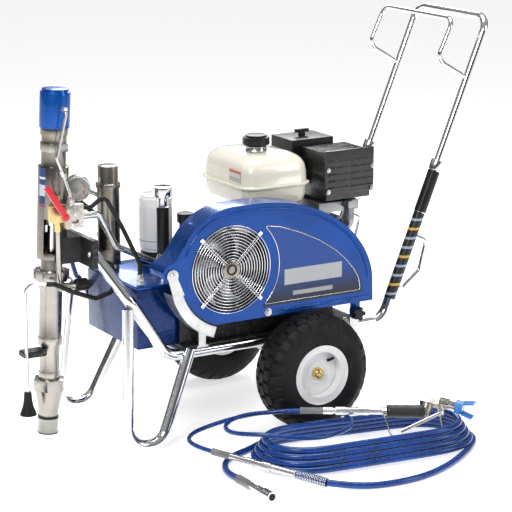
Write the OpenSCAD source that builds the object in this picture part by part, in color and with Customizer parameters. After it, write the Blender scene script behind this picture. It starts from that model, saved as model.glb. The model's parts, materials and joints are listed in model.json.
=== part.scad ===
// Airless paint sprayer on a two-wheel cart, with its hose and spray gun lying beside it.
// Millimetres. +Z is up and +X points to the push handle. The near side, with the belt guard, is -Y.
// The origin is on the floor, under the middle of the cart.

/* [Cart] */
// Half of the distance between the two frame rails
rail_y = 173; // [171:1:175]
// Height of the rail centre line over the floor
rail_z = 243; // [242:1:244]
// Outer diameter of the frame tubes
tube_d = 32; // [30:1:33]
// Bend radius of the frame tubes
tube_bend = 58; // [45:1:60]
// Wheel axle, distance along the cart from the origin
axle_x = 60; // [50:1:70]
// Axle diameter
axle_d = 20; // [16:1:22]

/* [Wheels] */
// Tyre outer radius
tyre_r = 165; // [163:1:166]
// Tyre width
tyre_w = 127; // [120:1:130]
// Distance from the cart's middle to the middle of a wheel
wheel_y = 269; // [269:1:272]

/* [Handle] */
// Diameter of the telescoping handle tube
handle_d = 22; // [20:1:24]
// Diameter of the grip loop tube
grip_d = 14; // [12:1:15]

/* [Belt drive] */
// Outer face of the belt guard, from the cart's middle
guard_y = 245; // [244:1:247]
// Depth of the belt guard
guard_depth = 78; // [76:1:79]
// Radius of the opening for the fan
fan_open_r = 118; // [116:1:120]
// Pitch radius of the fan pulley
fan_pulley_r = 94; // [88:1:96]
// Pitch radius of the engine pulley
engine_pulley_r = 36; // [32:1:38]

/* [Pump] */
// Distance from the cart's middle back to the pump's axis
pump_x = -600; // [-601:1:-599]
// Diameter of the hydraulic motor's cylinder
motor_d = 83; // [82:0.5:84]
// Diameter of the pump rod
rod_d = 27; // [24:1:28]
// Radial clearance of running fits
fit = 0.05; // [0.03:0.01:0.08]

/* [Hose] */
// Outer diameter of the main hose
hose_d = 18; // [16:1:18]
// Outer diameter of the whip hose
whip_d = 12; // [10:1:12]
// Height of the coiled hose
coil_h = 80; // [75:1:80]

/* [Hidden] */
$fn = 48;
gap = 0.2;
swell = 0.1;
reach = 0.5;
wall = 3;
deck_z = 259;
deck_t = 6;
deck_top = deck_z + deck_t;

// Bends of one frame side, front to rear, as distance along the cart, side offset and height
front_kink = [-455, rail_y, 411];
front_bend = [-345, rail_y, rail_z];
rear_bend = [358, rail_y, rail_z];
sleeve_top = [534, rail_y, 667];
mount_end = [-530, 88, 551];
mount_face_x = -520;
lean = unit(sleeve_top - rear_bend);
collar_h = 30;
handle_bend = 43;
handle_in = 90;
handle_top_z = 1094;
sleeve_bore = 26;

wheel_z = tyre_r;
rim_r = 70;
bead_w = 50;
hub_d = 50;
axle_end_y = 300;

fan_x = -183;
fan_z = 480;
crank_x = 100;
crank_z = 385;
belt_y = 206;
belt_w = 12;
belt_t = 8;
pivot = [-365, 0, 486];
bolt_d = 10;
knob_x = 219;
knob_z = 304;

motor_base_z = 640;
pump_lean = 2.8;
pump_pivot_z = 520;
drain_x = -699;
filter_x = -427;
yoke_base_z = 515;
coil_len = 360;
coil_r = 150;
coil_band = 60;
coil_pos = [70, -520, 0];
coil_turn = -8;
coupling_start = [-172, -714, 17];
coupling_end = [-341, -416, 42];
gun_start = [-52, -390, 100];
gun_dir = unit([0.847, -0.531, 0]);
head_start = [240, -545, 130];
head_dir = unit([0.63, -0.766, -0.13]);
trigger_root = [268, -600, 100];

// Route of the main hose's free end, from its end fitting to the coil
tail_route = [[-345, -560, 12], [-345, -520, 10], [-338, -482, 9], [-322, -448, 9],
    [-298, -418, 9], [-266, -394, 9], [-228, -380, 9], [-196, -367, 9],
    [-169, -352, 9], [-141, -340, 9], [-108, -335, 9], [-76, -338, 9], [-36, -343, 9], [3, -349, 9],
    [43, -355, 9], [72, -359, 9]];
// Route of the main hose from the coil to the spring guard
lead_route = [[377.5, -482.8, 9], [392, -520, 9], [393, -562, 9], [370, -610, 9], [323, -658, 9],
    [252, -710, 9], [171, -754, 9], [86, -783, 9], [5, -787, 9], [-65, -776, 9], [-123, -750, 12], [-172, -714, 17]];
// Route of the whip hose from the coupling, over the coil and round to the gun
whip_route = [[-341, -416, 42], [-356, -385, 45], [-362, -350, 46], [-356, -316, 46], [-338, -288, 46],
    [-310, -268, 48], [-275, -256, 50], [-238, -252, 54], [-202, -256, 60], [-168, -268, 67],
    [-138, -290, 76], [-112, -320, 85], [-82, -350, 90], [-45, -368, 88], [-8, -382, 87],
    [28, -400, 88], [55, -425, 87], [64, -458, 77], [50, -490, 74], [20, -514, 72],
    [-16, -528, 71], [-54, -537, 71], [-92, -539, 73], [-130, -534, 77], [-166, -523, 82],
    [-200, -506, 87], [-231, -482, 89], [-256, -452, 86], [-271, -416, 81], [-273, -378, 78],
    [-259, -344, 79], [-230, -322, 83], [-194, -316, 87], [-158, -324, 90], [-124, -342, 93],
    [-88, -366, 98], [-52, -390, 100]];

function unit(v) = v / norm(v);
function side_of(p, side) = [p.x, side * p.y, p.z];
function turn_angle(p, i) = acos(unit(p[i] - p[i - 1]) * unit(p[i + 1] - p[i]));
function trim(p, i, bend) = i == 0 || i == len(p) - 1 ? 0 : bend * tan(turn_angle(p, i) / 2);

// Straight round bar between two points
module bar(a, b, d) {
    v = b - a;
    translate(a)
        rotate([0, acos(v.z / norm(v)), atan2(v.y, v.x)])
            cylinder(d = d, h = norm(v));
}

// Round corner of a bent tube at point i
module elbow(p, i, bend, d) {
    u = unit(p[i] - p[i - 1]);
    v = unit(p[i + 1] - p[i]);
    angle = turn_angle(p, i);
    centre = p[i] + unit(v - u) * bend / cos(angle / 2);
    out = unit(p[i] - u * bend * tan(angle / 2) - centre);
    side = cross(out, u);
    multmatrix([[out.x, u.x, side.x, centre.x], [out.y, u.y, side.y, centre.y],
                [out.z, u.z, side.z, centre.z], [0, 0, 0, 1]])
        rotate_extrude(angle = angle)
            translate([bend, 0])
                circle(d = d);
}

// Bent round tube through points, with one bend radius. The bends swell a little and the straight
// lengths reach a little way into them, so that the pieces join cleanly.
module tube_path(p, bend, d) {
    for (i = [0 : len(p) - 2]) {
        u = unit(p[i + 1] - p[i]);
        from = i == 0 ? 0 : trim(p, i, bend) - reach;
        to = i == len(p) - 2 ? 0 : trim(p, i + 1, bend) - reach;
        bar(p[i] + u * from, p[i + 1] - u * to, d);
    }
    for (i = [1 : 1 : len(p) - 2]) elbow(p, i, bend, d + swell);
}

// Turned part: a stack of [height from, height to, diameter] steps about a vertical axis
module turned(steps) {
    for (s = steps) translate([0, 0, s[0]]) cylinder(d = s[2], h = s[1] - s[0]);
}

// Places children along a direction, with their own +Z on it
module aim(at, dir) {
    v = unit(dir);
    translate(at) rotate([0, acos(v.z), atan2(v.y, v.x)]) children();
}

// Box from its lowest to its highest corner
module block(low, high) {
    translate(low) cube(high - low);
}

// Plate drawn in the side view and given thickness across the cart
module side_plate(y, t) {
    translate([0, y + t, 0]) rotate([90, 0, 0]) linear_extrude(t) children();
}

// Flexible tube swept along a route, with frames worked out from point to point
module hose(p, d, sides = 10) {
    n = len(p);
    dirs = [for (i = [0 : n - 1]) unit(p[min(i + 1, n - 1)] - p[max(i - 1, 0)])];
    rings = [for (i = [0 : n - 1])
        let (a = unit(cross(dirs[i], [0, 0, 1])), b = cross(dirs[i], a))
        for (k = [0 : sides - 1])
            p[i] + (a * cos(360 * k / sides) + b * sin(360 * k / sides)) * d / 2];
    sides_faces = [for (i = [0 : n - 2]) for (k = [0 : sides - 1])
        let (j = (k + 1) % sides)
        [i * sides + k, i * sides + j, (i + 1) * sides + j, (i + 1) * sides + k]];
    first = [[for (k = [sides - 1 : -1 : 0]) k]];
    last = [[for (k = [0 : sides - 1]) (n - 1) * sides + k]];
    polyhedron(points = rings, faces = concat(sides_faces, first, last));
}

// ---- frame ----

module rail_tube(side, d) {
    path = [mount_end, front_kink, front_bend, rear_bend, sleeve_top];
    tube_path([for (p = path) side_of(p, side)], tube_bend, d);
}

module side_rail(side) {
    top = side_of(sleeve_top, side);
    color("silver") difference() {
        rail_tube(side, tube_d);
        bar(top - lean * 372, top + lean * 10, sleeve_bore);
        block([-600, -rail_y, 480], [mount_face_x, rail_y, 620]);
    }
}

module front_leg(side) {
    foot_z = tube_d / 2 + swell;
    path = [[-463, 178, 392], [-490, 221, foot_z], [-388, 221, foot_z], [-280, 186, 256]];
    color("silver") difference() {
        tube_path([for (p = path) side_of(p, side)], 54, tube_d);
        bar(side_of(front_kink, side), side_of(front_bend, side), tube_d + gap);
        bar(side_of(front_bend, side), side_of(rear_bend, side), tube_d + gap);
        block([-350, -rail_y - 100, deck_z], [-200, rail_y + 100, deck_z + 60]);
    }
}

module cross_bars() {
    color("silver") difference() {
        union() {
            for (x = [-290, 300])
                bar([x, -rail_y, rail_z], [x, rail_y, rail_z], 25);
        }
        for (side = [-1, 1]) bar(side_of(front_bend, side), side_of(rear_bend, side), tube_d + gap);
    }
}

module deck_plate() {
    color("dimgray") {
        block([-300, -rail_y - 14, deck_z], [262, rail_y + 14, deck_top]);
        for (side = [-1, 1]) difference() {
            block([axle_x - 45, side * 140 - 4, wheel_z - 30], [axle_x + 45, side * 140 + 4, deck_z]);
            translate([axle_x, 0, wheel_z]) rotate([90, 0, 0])
                cylinder(d = axle_d + 2 * fit, h = 400, center = true);
        }
    }
}

module lift_loops() {
    path = [[456, rail_y, 485], [509, rail_y, 462], [487, rail_y, 376], [428, rail_y, 330], [394, rail_y, 330]];
    color("silver") for (side = [-1, 1]) difference() {
        tube_path([for (p = path) side_of(p, side)], 18, 12);
        bar(side_of(rear_bend, side), side_of(sleeve_top, side), tube_d + gap);
    }
}

module handle_collars() {
    color("silver") for (side = [-1, 1]) {
        top = side_of(sleeve_top, side);
        difference() {
            bar(top, top + lean * collar_h, tube_d + 6);
            bar(top - lean, top + lean * (collar_h + 1), handle_d + 2 * fit);
        }
    }
}

module handle() {
    foot = sleeve_top - lean * handle_in;
    near_top = sleeve_top + lean * ((handle_top_z - sleeve_top.z) / lean.z);
    color("silver")
        tube_path([side_of(foot, -1), side_of(near_top, -1), near_top, foot], handle_bend, handle_d);
}

module grip_loop() {
    joint = sleeve_top + lean * ((925 - sleeve_top.z) / lean.z);
    path = [joint, [536, rail_y, 985], [590, rail_y, 1098]];
    whole = concat([for (p = path) side_of(p, -1)], [for (i = [2 : -1 : 0]) path[i]]);
    foot = sleeve_top - lean * handle_in;
    near_top = sleeve_top + lean * ((handle_top_z - sleeve_top.z) / lean.z);
    color("silver") difference() {
        tube_path(whole, 30, grip_d);
        for (side = [-1, 1]) bar(side_of(foot, side), side_of(near_top, side), handle_d + gap);
    }
}

// ---- wheels ----

module axle() {
    color("gray")
        translate([axle_x, 0, wheel_z]) rotate([90, 0, 0]) cylinder(d = axle_d, h = 2 * axle_end_y, center = true);
}

// Wheel parts are drawn with the outer side up, then laid over
module wheel_place(side) {
    translate([axle_x, side * wheel_y, wheel_z]) rotate([-90 * side, 0, 0]) children();
}

module tyre(side) {
    color("#1c1c1e") wheel_place(side) rotate_extrude($fn = 96) difference() {
        intersection() {
            translate([rim_r, -tyre_w / 2]) square([tyre_r - rim_r, tyre_w]);
            translate([tyre_r - 58, 0]) circle(r = 76, $fn = 96);
        }
        for (s = [-1, 1]) translate([rim_r - 1, s > 0 ? bead_w : -bead_w - 30]) square([22, 30]);
    }
}

module rim(side) {
    color("white") wheel_place(side) {
        rotate_extrude($fn = 96) {
            translate([rim_r - 5, -bead_w - 3]) square([5, 2 * bead_w + 6]);
            for (s = [-1, 1]) translate([rim_r - 5, s > 0 ? bead_w : -bead_w - 3]) square([24, 3]);
            translate([axle_d / 2 + fit, 20]) square([rim_r - 5 - axle_d / 2 - fit, 5]);
            translate([axle_d / 2 + fit, -30]) square([hub_d / 2 - axle_d / 2, 60]);
        }
        translate([-38, -38, 25]) rotate([0, -30, 45]) cylinder(d = 9, h = 24);
    }
}

module axle_caps() {
    color("goldenrod") for (side = [-1, 1]) difference() {
        translate([axle_x, side * (wheel_y + 30.5), wheel_z]) rotate([-90 * side, 0, 0]) union() {
            cylinder(d = 34, h = 6);
            cylinder(d = 26, h = 12);
        }
        axle();
    }
}

// ---- hydraulic side ----

module reservoir() {
    color("#16285a") difference() {
        block([-420, -150, deck_top], [-130, 150, 430]);
        block([-420 + wall, -150 + wall, deck_top + wall], [-130 - wall, 150 - wall, 431]);
    }
}

module reservoir_lid() {
    color("#1d3f96") {
        block([-418, -148, 430], [-130, 148, 438]);
        block([-398, 102, 438], [-350, 108, 600]);
    }
}

module oil_filter() {
    color("whitesmoke") translate([-240, 80, 0]) {
        turned([[478, 484, 84], [484, 628, 94], [628, 636, 84]]);
    }
    color("#222222") translate([-240, 80, 0]) turned([[438, 478, 88]]);
}

module breather_cap() {
    color("#1a1a1a") translate([-222, -60, 0]) difference() {
        union() {
            turned([[580, 606, 46], [560, 580, 34]]);
        }
        translate([0, 0, 555]) cylinder(d = 20 + 2 * fit, h = 30);
    }
}

module hydraulic_pump() {
    color("#2b2d31") {
        translate([fan_x, -98, fan_z]) rotate([90, 0, 0]) difference() {
            union() {
                cylinder(d = 76, h = 58);
                translate([0, 0, 58]) cylinder(d = 104, h = 5.8);
            }
            translate([0, 0, 20]) cylinder(d = 20 + 2 * fit, h = 60);
        }
        block([fan_x - 30, -150, 438], [fan_x + 30, -104, 442.5]);
        translate([-222, -60, 438]) cylinder(d = 20, h = 140);
    }
}

// ---- belt drive ----

// Side view of the guard, with its hinge ear at the front and its knob tab at the rear
module guard_outline() {
    polygon(concat(
        [for (a = [232 : -10 : 112]) [pivot.x + 1 + 27 * cos(a), pivot.z + 4 + 27 * sin(a)]],
        [[-352, 526], [-338, 546]],
        [for (a = [154 : -4 : 94]) [-165 + 178 * cos(a), 488 + 165 * sin(a)]],
        [for (a = [90 : -4 : 4]) [-100 + 378 * cos(a), 380 + 273 * sin(a)]],
        [[278, 332], [knob_x + 16, 332], [knob_x + 16, 294], [knob_x + 8, 286], [knob_x - 8, 286],
         [knob_x - 16, 294], [knob_x - 16, 332]],
        [for (a = [252 : -6 : 204]) [fan_x + 156 * cos(a), fan_z + 156 * sin(a)]]));
}

// Outline of the guard's side wall, open along the bottom and the lower front
module guard_wall_outline() {
    difference() {
        guard_outline();
        offset(delta = -wall) guard_outline();
        polygon([[-420, 280], [-420, 478], [-320, 478], [-200, 462], [-200, 345], [262, 345], [262, 280]]);
    }
}

module belt_guard() {
    color("#1f4fb4") difference() {
        union() {
            side_plate(-guard_y, wall) difference() {
                guard_outline();
                translate([fan_x, fan_z]) circle(r = fan_open_r, $fn = 96);
            }
            side_plate(-guard_y, guard_depth) guard_wall_outline();
        }
        translate([pivot.x, 0, pivot.z]) rotate([90, 0, 0]) cylinder(d = bolt_d + 2 * fit, h = 400);
    }
}

module guard_decal() {
    color("#1440a0") side_plate(-guard_y - 0.6, 0.6) difference() {
        polygon([[-110, 362], [-110, 598], [-92, 598], [-60, 594], [-30, 588], [4, 578], [35, 566], [66, 552], [95, 536],
                 [123, 520], [149, 502], [172, 485], [193, 467], [210, 450], [223, 433], [232, 415], [238, 395],
                 [240, 378], [240, 362]]);
        translate([fan_x, fan_z]) circle(r = fan_open_r + 34, $fn = 96);
    }
}

module fan_grille() {
    color("silver") translate([fan_x, -guard_y, fan_z]) rotate([90, 0, 0]) linear_extrude(4) {
        for (r = [36 : 12 : 120]) difference() {
            circle(r = r + 1.5, $fn = 96);
            circle(r = r - 1.5, $fn = 96);
        }
        for (a = [45 : 90 : 315]) rotate([0, 0, a]) translate([22, -1.5]) square([106, 3]);
        circle(r = 27);
    }
}

module fan_pulley() {
    color("silver") translate([fan_x, 0, fan_z]) rotate([90, 0, 0]) {
        translate([0, 0, belt_y - 10]) cylinder(r = fan_pulley_r, h = 20);
        for (z = [belt_y - 10, belt_y + 7]) translate([0, 0, z]) cylinder(r = fan_pulley_r + 10, h = 3);
        translate([0, 0, belt_y + 10]) cylinder(r = 28, h = 20);
        for (a = [0 : 45 : 315]) rotate([0, 0, a])
            translate([25, -14, belt_y + 10]) rotate([28, 0, 0]) cube([78, 24, 3]);
        translate([0, 0, 122]) cylinder(d = 20, h = belt_y - 130);
    }
}

// Outer contour of a belt that lies round both pulleys, at a distance over their grooves
module belt_contour(over) {
    a = fan_pulley_r + over;
    b = engine_pulley_r + over;
    v = [crank_x - fan_x, crank_z - fan_z];
    along = atan2(v.y, v.x);
    open = acos((a - b) / norm(v));
    polygon(concat(
        [for (t = [0 : 1 / 72 : 1]) a * [cos(along + open + t * (360 - 2 * open)), sin(along + open + t * (360 - 2 * open))]],
        [for (t = [0 : 1 / 36 : 1]) v + b * [cos(along - open + t * 2 * open), sin(along - open + t * 2 * open)]]));
}

module drive_belt() {
    color("#161616") translate([fan_x, -belt_y + belt_w / 2, fan_z]) rotate([90, 0, 0])
        linear_extrude(belt_w) difference() {
            belt_contour(0.3 + belt_t);
            belt_contour(0.3);
        }
}

module engine_pulley() {
    color("gray") translate([crank_x, 0, crank_z]) rotate([90, 0, 0]) {
        translate([0, 0, belt_y - 10]) cylinder(r = engine_pulley_r, h = 20);
        for (z = [belt_y - 10, belt_y + 7]) translate([0, 0, z]) cylinder(r = engine_pulley_r + 10, h = 3);
        translate([0, 0, 60]) cylinder(d = 25, h = belt_y - 65);
        translate([0, 0, 60]) cylinder(d = 70, h = 20);
    }
}

// Outer edge of the bracket, which follows the front of the guard down from its hinge
function bracket_edge(r) = [for (a = [196 : 7 : 252]) [fan_x + r * cos(a), fan_z + r * sin(a)]];

module guard_bracket() {
    color("lightgray") {
        side_plate(-guard_y - 5.5, 4) union() {
            polygon(concat(bracket_edge(190), [for (i = [8 : -1 : 0]) bracket_edge(160)[i]]));
            translate([pivot.x, pivot.z]) circle(r = 17);
            polygon([[-382, 490], [-350, 478], [-330, 430], [-362, 420]]);
        }
        side_plate(-guard_y - 5.5, 52)
            polygon(concat(bracket_edge(190), [for (i = [8 : -1 : 0]) bracket_edge(186)[i]]));
        block([-262, -rail_y - 24, deck_z], [-228, -rail_y - 14, deck_top]);
        block([-258, -rail_y - 24, deck_top], [-236, -rail_y - 21, 312]);
        block([knob_x - 14, -guard_y + 5, deck_z], [knob_x + 14, -rail_y - 14, deck_top]);
        block([knob_x - 14, -guard_y + 5, deck_top], [knob_x + 14, -guard_y + 9, knob_z + 12]);
        translate([pivot.x, -guard_y - 1.5, pivot.z]) rotate([-90, 0, 0]) cylinder(d = bolt_d, h = 60);
        translate([pivot.x, -guard_y - 5.5, pivot.z]) rotate([90, 0, 0]) cylinder(d = 17, h = 6, $fn = 6);
    }
}

module guard_back_plate() {
    color("#1b1d20") difference() {
        side_plate(-165, 3) polygon([[-300, 430], [-250, 560], [-120, 560], [180, 500], [200, deck_top],
            [-300, deck_top]]);
        for (p = [[fan_x, fan_z], [crank_x, crank_z]])
            translate([p.x, -150, p.y]) rotate([90, 0, 0]) cylinder(r = 16, h = 30);
    }
}

module guard_knob() {
    color("#141414") translate([knob_x, -guard_y - 0.3, knob_z]) rotate([90, 0, 0]) {
        cylinder(d = 14, h = 10);
        translate([0, 0, 8]) linear_extrude(16) union() {
            circle(d = 26);
            for (a = [0 : 72 : 288]) rotate([0, 0, a]) translate([14, 0]) circle(d = 12);
        }
    }
}

// ---- engine ----

// Frame of the sloping cylinder, with its +X along the piston's travel
module head_place() {
    translate([190, 10, 420]) rotate([0, -25, 0]) children();
}

module engine_block() {
    color("#3c3d40") difference() {
        union() {
            block([10, -100, deck_top], [190, 100, 280]);
            block([22, -90, 280], [200, 100, 470]);
            translate([crank_x, -90, crank_z]) rotate([90, 0, 0]) cylinder(d = 150, h = 22);
            block([10, -60, 470], [150, 90, 596]);
            head_place() {
                translate([0, -45, -55]) cube([118, 110, 110]);
                for (i = [0 : 7]) translate([12 + i * 13, -70, -72]) cube([4, 150, 144]);
                translate([118, -52, -60]) cube([26, 124, 120]);
            }
        }
        translate([crank_x, -50, crank_z]) rotate([90, 0, 0]) cylinder(d = 90, h = 34);
        translate([crank_x, -80, crank_z]) rotate([90, 0, 0]) cylinder(d = 25 + 2 * fit, h = 40);
    }
}

module recoil_housing() {
    color("#2a2b2e") difference() {
        union() {
            translate([crank_x, 168, crank_z + 12]) rotate([90, 0, 0]) cylinder(d = 250, h = 68, $fn = 96);
            translate([crank_x, 180, crank_z + 12]) rotate([90, 0, 0]) cylinder(d = 170, h = 12, $fn = 96);
        }
        translate([-60, 150, crank_z + 92]) rotate([0, 90, 0]) cylinder(d = 6, h = 400);
    }
}

module recoil_handle() {
    color("#111111") {
        translate([12, 150, crank_z + 92]) rotate([0, 90, 0]) cylinder(d = 4, h = 192);
        translate([204, 150, crank_z + 92]) rotate([0, 90, 0]) cylinder(d = 14, h = 12);
        bar([216, 122, crank_z + 92], [216, 178, crank_z + 92], 16);
    }
}

module tank_outline(inset, r) {
    x0 = -52 + inset;
    x1 = 176 - inset;
    y0 = -100 + inset;
    y1 = 180 - inset;
    difference() {
        translate([x0, y0]) square([x1 - x0, y1 - y0]);
        for (x = [x0, x1]) for (y = [y0, y1]) difference() {
            translate([x - r, y - r]) square([2 * r, 2 * r]);
            translate([x + (x == x0 ? r : -r), y + (y == y0 ? r : -r)]) circle(r = r);
        }
    }
}

module fuel_tank() {
    color("ivory") {
        translate([0, 0, 652]) linear_extrude(6) tank_outline(0, 46);
        translate([0, 0, 616]) linear_extrude(36) tank_outline(9, 40);
        translate([0, 0, 596]) linear_extrude(20) tank_outline(24, 30);
        translate([0, 0, 658]) linear_extrude(66) tank_outline(9, 40);
        translate([0, 0, 724]) linear_extrude(14) tank_outline(20, 32);
        translate([0, 0, 738]) linear_extrude(10) tank_outline(36, 20);
        translate([40, 0, 748]) difference() {
            cylinder(d = 56, h = 12);
            translate([0, 0, 2]) cylinder(d = 46, h = 20);
        }
    }
}

module fuel_cap() {
    color("#303236") translate([40, 0, 0]) difference() {
        union() {
            turned([[762, 784, 74], [784, 790, 60]]);
        }
        translate([0, 0, 755]) cylinder(d = 58, h = 12);
    }
    color("#303236") translate([40, 0, 750.5]) cylinder(d = 45, h = 17);
}

module muffler() {
    color("#15161a") {
        block([204, -112, 600], [352, 20, 736]);
        block([196, -120, 618], [360, -112, 744]);
        for (i = [0 : 4]) for (x = [208, 284])
            block([x, -124, 632 + i * 19], [x + 66, -120, 639 + i * 19]);
    }
    color("#15161a") block([220, -60, 588], [340, 0, 600]);
}

module air_cleaner() {
    color("#17181b") {
        block([176.5, 30, 620], [330, 160, 700]);
        block([182, 36, 700], [322, 152, 752]);
        translate([250, 94, 752]) cylinder(d = 20, h = 10);
        block([228, 89, 762], [272, 99, 772]);
        block([210, 90.2, 500], [290, 150, 620]);
    }
}

module exhaust_pipe() {
    color("lightgray") difference() {
        union() {
            block([196, -88, 560], [330, 60, 588]);
            tube_path([[296, -90, 575], [296, -90, 510], [296, -30, 510]], 26, 30);
            block([272, -124.5, 574], [290, -80, 594]);
        }
        head_place() translate([-20, -72, -74]) cube([164 + gap, 154, 134 + gap]);
    }
}

// ---- paint pump ----

// The pump leans a little, its top towards the cart
module pump_place() {
    translate([pump_x, 0, pump_pivot_z]) rotate([0, pump_lean, 0]) translate([0, 0, -pump_pivot_z]) children();
}

module pump_mount() {
    color("#26282c") difference() {
        union() {
            block([-536, -122, 500], [mount_face_x, 122, 576]);
            block([-600, -50, 505], [-536, 50, 575]);
        }
        pump_place() translate([0, 0, 400]) cylinder(d = motor_d + 2 * gap, h = 300);
    }
}

module motor_cylinder() {
    color("#8c8880") pump_place() difference() {
        turned([[yoke_base_z, 766, motor_d], [766, 807, 68], [829, 850, 68], [850, 869, 75]]);
        translate([0, 0, 500]) cylinder(d = 54, h = motor_base_z - 500);
        translate([0, 0, 500]) cylinder(d = rod_d + 2 * fit, h = 250);
        for (a = [-120, 60]) rotate([0, 0, a]) translate([0, -20, 530]) cube([80, 40, 96]);
    }
    color("#6f6b65") pump_place() translate([0, 0, 807]) cylinder(d = 80, h = 22, $fn = 8);
}

module motor_cap() {
    color("#1c50c0") pump_place() turned([[869, 966, 82], [966, 974, 72]]);
}

module pump_rod() {
    color("gainsboro") pump_place()
        turned([[345, 372, 42 - 2 * fit], [372, 735, rod_d], [606, 634, 44]]);
}

module pump_cylinder() {
    color("#a29e97") pump_place() difference() {
        turned([[178, 198, 58], [198, 274, 54], [274, 296, 66], [296, 430, 62], [430, 455, 70],
                [455, 482, 98], [482, yoke_base_z, 60]]);
        translate([0, 0, 240]) cylinder(d = 42, h = 210);
        translate([0, 0, 190]) cylinder(d = 18, h = 60);
        translate([0, 0, 440]) cylinder(d = rod_d + 2 * fit, h = 90);
        for (a = [0 : 45 : 315]) rotate([0, 0, a]) translate([44, -6, 454]) cube([10, 12, 29]);
    }
}

module intake_valve() {
    color("#b4b1aa") pump_place() {
        translate([0, 0, 147]) cylinder(d = 90, h = 31, $fn = 6);
        translate([0, 0, 125]) cylinder(d1 = 67, d2 = 80, h = 22);
        translate([0, 0, 74]) cylinder(d1 = 52, d2 = 67, h = 51);
    }
    color("#3a3a3a") pump_place() turned([[66, 74, 58]]);
    color("silver") pump_place() turned([[27, 66, 54], [24, 27, 58]]);
}

module drain_tube() {
    color("silver") difference() {
        union() {
            tube_path([[drain_x, -40, 148], [drain_x, -40, 462], [-640, -76, 462]], 30, 10);
            translate([drain_x, -40, 140]) cylinder(d = 20, h = 22, $fn = 6);
            translate([drain_x, -40, 98]) cylinder(d1 = 46, d2 = 24, h = 42);
        }
        translate([drain_x, -40, 97]) cylinder(d1 = 40, d2 = 10, h = 36);
    }
    color("#1c1c1c") tube_path([[-650, -69.9, 462], [-630, -82.1, 462], [-583, -86, 436], [-510, -80, 406], [-458, -80, 419],
        [-458, -80, 492], [-458, -30.2, 492]], 14, 13);
    color("#2c2c2c") difference() {
        block([drain_x - 6, -47, 255], [-615, 0, 272]);
        pump_place() translate([0, 0, 250]) cylinder(d = 54 + 2 * gap, h = 30);
        translate([drain_x, -40, 250]) cylinder(d = 10, h = 40);
    }
}

module return_tube() {
    color("silver") difference() {
        tube_path([[-580, -36, 925], [-580, -72, 925], [-612, -72, 800], [-590, -74, 742],
                   [-575, -88, 677.5]], 12, 9);
        pump_place() translate([0, 0, 800]) cylinder(d = 82 + gap, h = 200);
    }
    color("silver") {
        aim([-580, -44, 925], [0, -1, 0]) cylinder(d = 18, h = 16, $fn = 6);
        aim([-599, -73, 766], [22, -2, -58]) cylinder(d = 16, h = 26, $fn = 6);
    }
}

module valve_body() {
    color("#b08d3c") {
        block([-630, -76, 626], [-586, -46, 670]);
        bar([-608, -61, 670], [-608, -61, 698], 16);
        bar([-608, -61, 600], [-608, -61, 626], 20);
    }
    color("#8f8c86") {
        difference() {
            block([-600, -100, 612], [-550, -76, 676]);
            block([-585, -101, 626], [-565, -90, 636]);
        }
        difference() {
            bar([-608, -60, 445], [-561, -60, 445], 22);
            pump_place() translate([0, 0, 400]) cylinder(d = 98 + gap, h = 100);
        }
        bar([-608, -61, 450], [-608, -61, 602], 14);
        difference() {
            bar([-600, -30, 442], [-600, -60, 442], 18);
            pump_place() translate([0, 0, 400]) cylinder(d = 70 + gap, h = 100);
        }
    }
}

module valve_lever() {
    color("crimson") {
        translate([-608, -107, 648]) rotate([90, 0, 0]) cylinder(d = 20, h = 7);
        translate([-608, -114, 648]) rotate([0, -122, 0]) translate([0, 0, -8]) cube([100, 7, 16]);
    }
    color("silver") translate([-608, -76.2, 648]) rotate([90, 0, 0]) cylinder(d = 11, h = 42);
}

module filter_housing() {
    color("#7d7a74") translate([filter_x, 0, 0]) {
        turned([[478, 690, 62], [690, 700, 68], [700, 750, 56]]);
        block([-62, -30, 478], [20, 30, 520]);
        translate([0, 26, 545]) rotate([-90, 0, 0]) cylinder(d = 32, h = 12, $fn = 6);
        translate([0, 38, 545]) rotate([-90, 0, 0]) cylinder(d = 19, h = 20);
    }
    color("#26282c") block([mount_face_x, -60, 500], [filter_x - 62, 60, 560]);
}

module pressure_gauge() {
    color("lightgray") difference() {
        union() {
            aim([-500, 40, 689], [-0.4, -0.92, 0]) translate([0, 0, -12]) cylinder(d = 70, h = 26, $fn = 64);
            bar([-492, 44, 689], [-438, 16, 660], 12);
        }
        translate([filter_x, 0, 600]) cylinder(d = 62 + gap, h = 90);
    }
}

module prime_knob() {
    color("#111111") {
        aim([-560, -60, 445], [1, 0, 0]) {
            cylinder(d = 34, h = 34);
            translate([0, 0, 34]) cylinder(d = 18, h = 14);
        }
    }
}

module pressure_knob() {
    color("gainsboro") translate([-292, -60, 0]) turned([[632, 660, 27], [660, 688, 52]]);
    color("#141414") translate([-292, -60, 0]) turned([[500, 632, 34]]);
}

module hydraulic_hoses() {
    color("#a9a79f") {
        tube_path([[-549.4, -88, 640], [-500, -88, 640], [-440, -66, 540], [-334, -60, 486],
                   [-292, -60, 470]], 20, 18);
        translate([-292, -60, 438]) cylinder(d = 40, h = 61.5);
    }
    color("#1c1c1c") {
        tube_path([[-549.8, -88, 662], [-522, -88, 662], [-486, -94, 690], [-440, -106, 600],
                   [-400, -128, 500], [-400, -128, 438 + gap]], 16, 12);
        tube_path([[-530, 70, 576 + gap], [-530, 70, 640], [-470, 100, 640], [-385, 76, 560],
                   [-375, 66, 439.2]], 24, 14);
    }
}

// ---- hose and gun ----

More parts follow.
